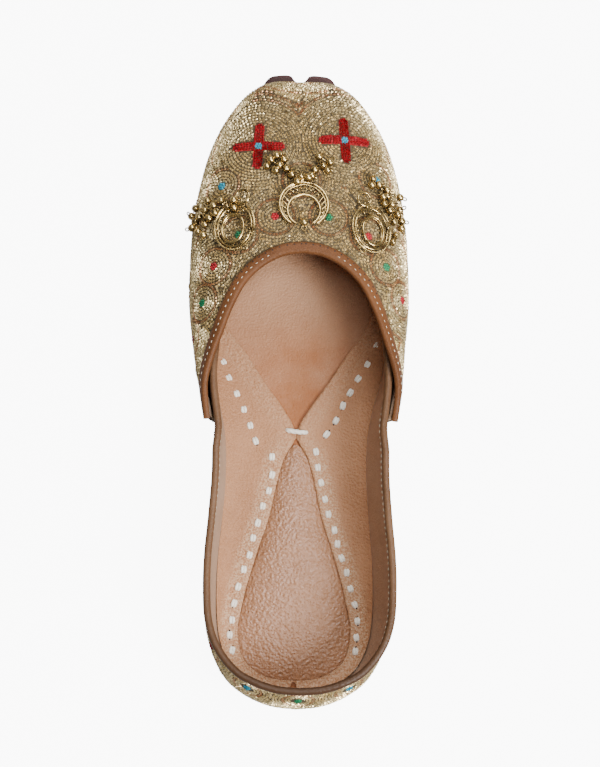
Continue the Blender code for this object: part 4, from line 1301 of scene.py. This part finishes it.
def ellipse(frame, centre, reach, wire, height, turn=(0.0, 360.0), sides=8, twist=0.0, phase=0.0):
    """Wire bent on an ellipse, or a part of one; twist winds it as a helix round its own line."""
    whole = turn[1] - turn[0] >= 359.9
    count = max(8, int(abs(turn[1] - turn[0]) / (4 if twist else 9)))
    angle = np.radians(np.linspace(turn[0], turn[1], count, endpoint=not whole))
    if twist:
        wind = angle * round(twist) + phase
        reach = (reach[0] + 0.75 * wire * np.cos(wind), reach[1] + 0.75 * wire * np.cos(wind))
        height = height + 0.75 * wire * np.sin(wind)
    path = flat_path(frame, centre[0] + reach[0] * np.cos(angle), centre[1] + reach[1] * np.sin(angle),
                     np.broadcast_to(height, angle.shape))
    return path, frame[3], wire, sides, whole


def scroll(frame, centre, reach, turns, wire, height, start=0.0, hand=1.0):
    """Wire spiral: the radius falls evenly from reach to a fifth of it."""
    angle = np.linspace(0, 2 * math.pi * turns, int(18 * turns) + 2)
    radius = reach * (1 - 0.8 * angle / angle[-1])
    return (flat_path(frame, centre[0] + radius * np.cos(start + hand * angle),
                      centre[1] + radius * np.sin(start + hand * angle), np.full(angle.shape, height)),
            frame[3], wire, 6, False)


def ball_wire(frame, centre, radius, height):
    """Bead as a very short wire whose radius follows a half circle."""
    angle = np.linspace(0.12, math.pi - 0.12, 7)
    along = -np.cos(angle) * radius
    path = flat_path(frame, centre[0] + along, np.full(7, centre[1]), np.full(7, height))
    return path, frame[3], np.sin(angle) * radius, 10, False


def make_charms(material):
    """Antique wire charms: a crescent with spokes in the middle, an oval with scrolls at each side."""
    y = HALF - CHARM_FROM_TOE
    lift = VAMP_FACE + CHARM_LIFT
    frame_ = charm_frame(0.0, y)
    wires = [
        ellipse(frame_, (0, 0), (9.2, 9.2), 0.66, lift + 0.45, (-58, 238)),
        ellipse(frame_, (0, 0), (8.35, 8.35), 0.24, lift + 0.1, (-60, 240)),
        ellipse(frame_, (0, -2.3), (6.2, 6.4), 0.58, lift + 0.4, (-62, 242)),
        ellipse(frame_, (0, 10.4), (1.5, 1.5), 0.3, lift + 0.8),
        ball_wire(frame_, (0, -7.4), 1.55, lift + 0.6),
        ellipse(frame_, (0, -9.6), (0.9, 0.9), 0.25, lift + 0.2),
    ]
    for degrees in (-28, -14, 0, 14, 28, 152, 166, 180, 194, 208):
        angle = math.radians(degrees)
        inner = np.array((6.0 * math.cos(angle), -2.3 + 6.3 * math.sin(angle)))
        outer = np.array((8.9 * math.cos(angle), 8.9 * math.sin(angle)))
        line = inner + (outer - inner) * np.linspace(0, 1, 3)[:, None]
        wires.append((flat_path(frame_, line[:, 0], line[:, 1], np.full(3, lift + 0.25)), frame_[3], 0.27, 6, False))
    wires += [ball_wire(frame_, (7.0 * math.sin(a), 0.2 + 6.4 * math.cos(a)), 0.55, lift + 0.3)
              for a in np.radians((-50, -36, -22, -8, 8, 22, 36, 50))]
    join_wires("crescent_charm", wires, material, ("charm_centre",))
    for name, side, node in (("oval_charm_left", -1.0, "charm_left"), ("oval_charm_right", 1.0, "charm_right")):
        frame_ = charm_frame(side * SIDE_CHARM_SHARE * BALL_HALF, y - SIDE_CHARM_BACK)
        wires = [ellipse(frame_, (0, 0), (8.1, 9.3), 0.34, lift + 0.45, twist=44, phase=p) for p in (0.0, math.pi)]
        wires += [
            ellipse(frame_, (0, 0), (6.9, 8.1), 0.44, lift + 0.25),
            ellipse(frame_, (0.6 * side, -0.8), (4.4, 5.7), 0.56, lift + 0.5),
            ellipse(frame_, (0.6 * side, -0.8), (3.8, 5.0), 0.2, lift + 0.2),
            scroll(frame_, (0.2 * side, 6.6), 1.5, 1.4, 0.28, lift + 0.35, 0.4, side),
            scroll(frame_, (-5.4 * side, 2.6), 1.3, 1.3, 0.26, lift + 0.3, 1.4, -side),
            scroll(frame_, (5.7 * side, 2.6), 1.2, 1.3, 0.26, lift + 0.3, 2.2, side),
            scroll(frame_, (0.4 * side, -7.0), 1.1, 1.2, 0.26, lift + 0.3, 3.9, side),
            ellipse(frame_, (-2.6 * side, 11.4), (2.7, 2.7), 0.5, lift + 1.1),
            ellipse(frame_, (-1.2 * side, 9.6), (1.2, 1.2), 0.3, lift + 0.9),
            ellipse(frame_, (-4.6 * side, -8.4), (1.3, 1.3), 0.3, lift + 0.4),
        ]
        wires += [ball_wire(frame_, (x * side, b), 0.6, lift + 0.35)
                  for x, b in ((-6.1, -1.2), (6.3, -1.6), (-5.6, -4.0), (5.8, -4.4), (-2.9, 6.2), (3.2, 6.4))]
        join_wires(name, wires, material, (node,))


# Bells by their pixel in the photograph: three clusters.
BELLS = {
    "centre": ((391.4, 203), (398.4, 207.4), (405, 197.7), (399, 195), (394.5, 198.5), (401.5, 202.5), (407, 205.5),
               (411, 210), (415.5, 216.5), (424.5, 213.5), (432.9, 196), (441.6, 199.7), (439.6, 207), (436.5, 202.5),
               (429.5, 206.5), (427, 211), (418.5, 211.5)),
    "left": ((346.8, 232), (357.2, 232), (366.5, 231.5), (366.9, 238), (344.4, 239.3), (338.4, 238), (334.7, 244),
             (340.4, 245.3), (337.7, 249), (336.8, 254), (340.4, 257.3), (351.5, 236), (347.5, 246), (344.8, 251),
             (352.5, 242), (361.5, 236.5), (344.0, 259.5)),
    "right": ((474.5, 213.2), (479.4, 217.7), (473.3, 218.3), (484.8, 222), (494.2, 227.7), (485.5, 226.5),
              (481.8, 227.7), (483.3, 232.9), (495.4, 237.4), (496.0, 246.8), (493.0, 241.5), (496.0, 252.5),
              (492.6, 258.5), (490.0, 263.6), (489.5, 233.0), (490.5, 247.5), (487.5, 238.0)),
}


def make_bells(material):
    """Small round bells, each with its loop, strung in three clusters beside the charms."""
    rng = np.random.default_rng(11)
    polar = np.clip(np.linspace(0, math.pi, 8), 0.1, math.pi - 0.1)
    for name, pixels in BELLS.items():
        places, sides = seen_place(pixels)
        foot, normal, _, _ = motif_frames(places, sides)
        wires, middles = [], []
        for point, up in zip(foot, normal):
            radius = BELL_DIAMETER / 2 * rng.uniform(0.92, 1.06)
            tilt = unit(up + rng.normal(0, 0.8, 3))
            middle = point + up * (VAMP_FACE + GAP + radius + rng.uniform(0, 1.3))
            middles.append(middle)
            path = middle - tilt * (np.cos(polar) * radius)[:, None]
            wires.append((path, unit(np.cross(tilt, (0.3, 0.5, 0.1))), np.sin(polar) * radius, 12, False))
            collar = middle + tilt * (radius + 0.05)
            side = unit(np.cross(tilt, (0.2, 0.1, 0.9)))
            loop = (collar + tilt * 0.45, tilt, side, np.cross(tilt, side))
            wires.append(ellipse(loop, (0, 0), (0.75, 0.6), 0.26, 0.0, sides=6))
        order = np.array(middles)
        for near, far in zip(order, order[1:]):
            if np.linalg.norm(far - near) < 9:
                share = np.linspace(0, 1, 7)[:, None]
                sag = np.sin(share * math.pi) * -0.9
                path = near + (far - near) * share + np.array((0, 0, 1.0)) * sag
                wires.append((path, np.array((0.1, 0.2, 1.0)), 0.26, 6, False))
        join_wires("bells_" + name + "_strung", wires, material, ("bells_" + name,))


# Sewing on the leather


# White stitches of the wings by their pixel in the photograph, row by row.
WING_STITCHES = (
    ((356.4, 361.2), (360.8, 373.9), (367.2, 386.7), (372.9, 399.4), (378, 412.2), (382.3, 424.5)),
    ((395.5, 437.2), (395.5, 451.6), (393, 464.3), (388.1, 476.5), (384.3, 490), (380.5, 502), (377.7, 515.6),
     (373.1, 527), (368.7, 540.8), (365.6, 553.8), (363.9, 567), (362.1, 578.8), (364, 591)),
    ((480, 347), (472.4, 362.4), (464.8, 374), (458.4, 385.4), (452.4, 396), (446.8, 408), (439.3, 419)),
    ((430.7, 433), (432.2, 445.5), (434.8, 457.7), (437.9, 471), (440.6, 483), (445.5, 495.7), (447.8, 506.7),
     (451.2, 518), (455.2, 529.6), (458.2, 542.4), (461.6, 555), (463.6, 568), (462.8, 581), (462, 592), (461.6, 604)),
)


def wing_place(pixels):
    """Points of a wing's face on the sight lines of the given pixels."""
    floor = floor_place(pixels)
    point = floor
    for _ in range(4):
        height = insole_top(point[:, 1]) + GAP + WING_THICKNESS + 0.1
        point = EYE + (floor - EYE) * ((EYE[2] - height) / EYE[2])[:, None]
    return point


def make_wing_stitches(thread, hole_shade_cloth):
    """Bold white stitches of two strands along the wings, and the bar that holds the wings together."""
    rng = np.random.default_rng(3)
    upward = np.array((0.0, 0.0, 1.0))
    strands, ends = [], []
    for pixels in WING_STITCHES:
        middle = wing_place(pixels)
        ahead = unit(np.gradient(middle, axis=0))
        for point, run in zip(middle, ahead):
            turn = rng.normal(0.0, 0.14)
            turn_cos, turn_sin = math.cos(turn), math.sin(turn)
            run = unit(np.array((run[0] * turn_cos - run[1] * turn_sin, run[0] * turn_sin + run[1] * turn_cos, 0.0)))
            across = np.cross(upward, run)
            reach = rng.uniform(0.98, 1.2)
            share = np.linspace(-1, 1, 9)[:, None]
            for hand in (-0.56, 0.56):
                arc = point + run * share * reach + across * hand * (1 - 0.25 * share ** 2)
                arc = arc + upward * (STRAND * (1 - share ** 4) - 0.35)
                strands.append((arc, upward, STRAND, 8, False))
            ends += [point + run * (reach + 0.55), point - run * (reach + 0.55)]
    join_wires("wing_stitches", strands, thread)
    # Flat dark lumps at both ends of each stitch: painted shade standing for the stitch holes.
    ends = np.array(ends)
    ends[:, 2] = insole_top(ends[:, 1]) + GAP + WING_THICKNESS + 0.02
    stitch_mesh("wing_hole_shades", ends, np.broadcast_to((0.6, 0.8, 0.0), ends.shape),
                np.broadcast_to(upward, ends.shape), (1.5, 1.2, 0.16), hole_shade_cloth)
    y = WING[6][0] * HALF + 2.9
    across = np.linspace(-4.4, 4.4, 19)
    rise = insole_top(y) + GAP + WING_THICKNESS - 0.3 + 1.5 * np.clip(1 - (across / 4.6) ** 4, 0, 1)
    path = np.column_stack([across + 0.2, y - 0.11 * across + 0.02 * across ** 2, rise])
    bar = []
    for phase in (0.0, 2.1, 4.2):
        wind = across + phase
        offset = np.column_stack([np.zeros(len(across)), 0.34 * np.cos(wind), 0.3 * np.sin(wind)])
        bar.append((path + offset, upward, STRAND * np.clip(1.1 - (across / 4.6) ** 6, 0.3, 1), 8, False))
    join_wires("bar_stitch", bar, thread)


def both_sides(*rows):
    """Vectors of the right half, followed by their mirror images."""
    return [np.concatenate([row, row * (-1.0, 1.0, 1.0)]) for row in rows]


def plain_tones(rng, count):
    """Thread values of plain sewing thread, without rust."""
    return np.column_stack([rng.uniform(0.3, 1.0, count), np.zeros((count, 2))])


def make_lining_stitches(thread):
    """Fine running stitches inside the quarter, one row that follows the rim."""
    rng = np.random.default_rng(5)
    stations = quarter_stations(600)
    top = rim_place(stations)
    lean = -QUARTER_LEAN * under_vamp(stations)
    rim_points = skin(stations, top, lean)
    places = chord_places(rim_points)
    at = np.arange(22.0, places[-1], 2.25)
    s, up = np.interp(at, places, stations), np.interp(at, places, top)
    up = up - 2.6 / np.linalg.norm(slopes(s, np.minimum(up, 1.0))[1], axis=1)
    pulled = -QUARTER_LEAN * under_vamp(s) * np.clip(up, 0, 1) ** 1.5
    base = skin(s, up, pulled - QUARTER_WALL + 0.02)
    normal = -skin_normal(s, up)
    run = unit(slopes(s, up)[0])
    centres, directions, normals = both_sides(base, run, normal)
    count = len(centres)
    size = np.column_stack([rng.normal(1.45, 0.08, count), np.full(count, 0.62), np.full(count, 0.34)])
    tone = plain_tones(rng, len(centres))
    stitch_mesh("lining_stitches", centres, directions, normals, size, thread, tone)


def make_throat_stitches(thread, hole_shade_cloth):
    """Running stitches along the throat band, and dark marks of painted shade for the awl holes along its outer edge.
    """
    rng = np.random.default_rng(9)
    run = np.linspace(0, 1, 600)
    length = chord_places(throat_point(run, 0.5, 0.0)[0])[-1]
    for name, material, across, pitch, size, lift, first, final in (
        ("throat_stitches", thread, 0.44, 2.45, (1.25, 0.46, 0.24), GAP + THROAT_BAND_THICKNESS * 0.99, 0.16, 0.96),
        ("awl_hole_shades", hole_shade_cloth, 0.74, 2.6, (0.8, 0.75, 0.14), GAP + THROAT_BAND_THICKNESS * 1.03, 0.005, 0.40),
    ):
        at = np.arange(first * length, final * length, pitch) / length
        point, normal = throat_point(at, across, lift)
        ahead = unit(np.gradient(point, axis=0))
        centres, directions, normals = both_sides(point, ahead, normal)
        tone = plain_tones(rng, len(centres))
        stitch_mesh(name, centres, directions, normals, size, material, tone)


# Quarter motifs: distance along the wall from the heel's middle, place up the wall, kind.
QUARTER_MOTIFS = (
    (0.0, 0.84, "green"), (19.0, 0.85, "teal"), (10.0, 0.36, "red"), (29.0, 0.42, "green"), (39.0, 0.82, "red"),
    (49.0, 0.38, "teal"), (59.0, 0.80, "green"), (69.0, 0.38, "red"), (79.0, 0.80, "teal"), (89.0, 0.38, "green"),
    (99.0, 0.76, "red"), (109.0, 0.36, "teal"), (119.0, 0.66, "green"),
)


def make_quarter_embroidery(materials):
    """Zari rows round a dot every few centimetres, right round the heel."""
    rng = np.random.default_rng(13)
    rows = [(back, up, kind, side) for back, up, kind in QUARTER_MOTIFS for side in (1.0, -1.0) if back or side > 0]
    places = np.array([(WALL_RUN - back, up) for back, up, _, _ in rows])
    sides = np.array([side for _, _, _, side in rows])
    frames = motif_frames(places, sides)
    front = float(station_at(HALF - TIP_FROM_TOE)) - 7.0

    def inside(s, up):
        return (s > front) & (up > 0.04) & (up < rim_place(s) - 0.005)

    rings = fill_rings(frames, np.zeros(len(rows)), QUARTER_REACH, QUARTER_BEND, inside, rng)
    point, run, normal, radius, number, _, s, up = rings
    keep = radius > DOT_RADIUS + 0.5
    point, run, normal, number, s, up = (part[keep] for part in (point, run, normal, number, s, up))
    rust = np.where(number % 6 == 4, 0.8, 0.0) * rng.uniform(0.5, 1.0, len(point))
    lean = -QUARTER_LEAN * under_vamp(s) * np.clip(up, 0, 1) ** 1.5
    sew_rows("quarter_rows_", point + normal * (lean - 0.53)[:, None], run, normal, rust, materials["zari"], rng)
    for kind in ("teal", "green", "red"):
        chosen = [k for k, row in enumerate(rows) if row[2] == kind]
        make_dots("quarter_" + kind + "_dots", [part[chosen] for part in frames], materials[kind], rng, -0.5)


# Stage, camera and light


def make_stage():
    """Pale floor that looks white to the camera, a faint sky and three soft lights."""
    size = 3.0
    mesh = bpy.data.meshes.new("floor")
    mesh.from_pydata([(-size, -size, 0), (size, -size, 0), (size, size, 0), (-size, size, 0)], [], [(0, 1, 2, 3)])
    made, tree, shader, _ = new_material("floor_white")
    shader.inputs["Base Color"].default_value = (0.45, 0.45, 0.45, 1)
    shader.inputs["Emission Color"].default_value = (1.0, 1.0, 1.0, 1)
    seen = tree.nodes.new("ShaderNodeLightPath").outputs["Is Camera Ray"]
    tree.links.new(math_node(tree, "MULTIPLY", seen, 9.0), shader.inputs["Emission Strength"])
    shader.inputs["Roughness"].default_value = 0.9
    shader.inputs["Specular IOR Level"].default_value = 0.1
    mesh.materials.append(made)
    floor = bpy.data.objects.new("floor", mesh)
    bpy.context.scene.collection.objects.link(floor)
    world = bpy.data.worlds.new("studio")
    world.use_nodes = True
    world.node_tree.nodes["Background"].inputs["Color"].default_value = (1.0, 0.99, 0.98, 1)
    world.node_tree.nodes["Background"].inputs["Strength"].default_value = 0.16
    bpy.context.scene.world = world
    for name, place, power, side in (
        ("key", (0.62, -0.42, 0.98), 27.0, 0.34),
        ("overhead", (0.08, 0.06, 1.5), 10.0, 0.16),
        ("fill", (0.08, 0.95, 1.15), 13.0, 0.6),
    ):
        light = bpy.data.lights.new(name, "AREA")
        light.energy = power
        light.shape = "RECTANGLE"
        light.size, light.size_y = side, max(side, 0.6)
        lamp = bpy.data.objects.new(name, light)
        lamp.location = place
        lamp.rotation_euler = (-Vector(place)).to_track_quat("-Z", "Y").to_euler()
        bpy.context.scene.collection.objects.link(lamp)


AIM = np.array((0.8, 0.6, 18.0))
FRAME_HEIGHT = 296.0


def make_camera():
    """Camera above and to the left of the heel, turned a little so that the toe leans right."""
    camera = bpy.data.cameras.new("camera")
    camera.sensor_fit = "VERTICAL"
    camera.sensor_height = 24.0
    eye, aim = EYE * MM, AIM * MM
    look = unit(aim - eye)
    distance = float(np.linalg.norm(aim - eye))
    camera.lens = 24.0 * distance / (FRAME_HEIGHT * MM)
    camera.clip_end = 20.0
    photo_up = np.array((-PHOTO_TURN, 1.0, 0.0))
    right = unit(np.cross(look, photo_up))
    up = np.cross(right, look)
    made = bpy.data.objects.new("camera", camera)
    matrix = np.eye(4)
    matrix[:3, 0], matrix[:3, 1], matrix[:3, 2], matrix[:3, 3] = right, up, -look, eye
    made.matrix_world = Matrix(matrix.tolist())
    bpy.context.scene.collection.objects.link(made)
    bpy.context.scene.camera = made


def main():
    """Materials, then every piece in turn, then the stage and camera."""
    materials = {
        "zari": thread_material("zari_thread", (0.90, 0.72, 0.39), (0.20, 0.14, 0.055), 0.7, 0.27),
        "red": thread_material("red_thread", (0.40, 0.004, 0.012), (0.15, 0.002, 0.005), 0.1, 0.5),
        "teal": thread_material("teal_thread", (0.02, 0.30, 0.42), (0.01, 0.14, 0.22), 0.2, 0.4),
        "green": thread_material("green_thread", (0.006, 0.20, 0.075), (0.003, 0.09, 0.035), 0.1, 0.5),
    }
    white = cloth_material("white_thread", (0.86, 0.82, 0.74), (0.72, 0.66, 0.56))
    cream = thread_material("cream_thread", (0.80, 0.74, 0.60), (0.62, 0.54, 0.41), 0.0, 0.55)
    # Ground cloth under the zari: partly the cloth's own dark brown, darkened further as painted shade in the gaps
    # between the rows of stitches.
    ground = cloth_material("ground_cloth_and_gap_shade", (0.10, 0.068, 0.028), (0.035, 0.023, 0.01))
    lining = leather("lining_leather", (0.41, 0.285, 0.20), (0.32, 0.205, 0.135), 0.55, 1500.0, 0.7)
    wings = leather("wing_leather", (0.385, 0.19, 0.095), (0.29, 0.132, 0.06), 0.5, 1200.0, 1.0,
                    rubbed_edge, 0.0004)
    footbed = leather("footbed_leather", (0.45, 0.25, 0.142), (0.34, 0.17, 0.09), 0.46, 1400.0, 0.8,
                      footbed_stains, 0.0003)
    pad = leather("pad_leather", (0.35, 0.17, 0.086), (0.24, 0.108, 0.049), 0.33, 1000.0, 1.0,
                  depth=0.0007, gloss=0.75)
    band = leather("throat_leather", (0.15, 0.060, 0.023), (0.08, 0.030, 0.011), 0.46, 1200.0, 0.6, gloss=0.12)
    rim = leather("collar_leather", (0.145, 0.075, 0.038), (0.085, 0.041, 0.019), 0.42, 1200.0, 0.6, colour_marks=heel_back_darkening)
    sole = leather("sole_leather", (0.075, 0.03, 0.028), (0.04, 0.017, 0.016), 0.5, 700.0, 0.5)
    make_vamp_layer("vamp_cloth", ground, CLOTH_FACE, 0.62, ("upper",))
    make_vamp_layer("vamp_lining", lining, 0.58, -OVERLAP)
    make_quarter_layer("quarter_cloth", ground, -0.45, -1.05)
    make_quarter_layer("quarter_lining", lining, -1.1, -QUARTER_WALL)
    make_throat_binding(band)
    make_collar_binding(rim)
    make_outsole(sole)
    make_insole(footbed)
    make_wing("sock_wing_right", 1.0, wings, ("wing_right",))
    make_wing("sock_wing_left", -1.0, wings, ("wing_left",))
    make_heel_pad(pad)
    make_vamp_embroidery(materials)
    make_quarter_embroidery(materials)
    # Near-black cloth for flat lumps on the leather: painted shade standing for the hollows of the stitch and awl
    # holes.
    hole_shade = cloth_material("awl_hole_shade_cloth", (0.03, 0.012, 0.006), (0.015, 0.006, 0.003))
    make_throat_stitches(cream, hole_shade)
    make_lining_stitches(cream)
    make_wing_stitches(white, hole_shade)
    brass = brass_material()
    make_charms(brass)
    make_bells(brass)
    make_stage()
    make_camera()


main()
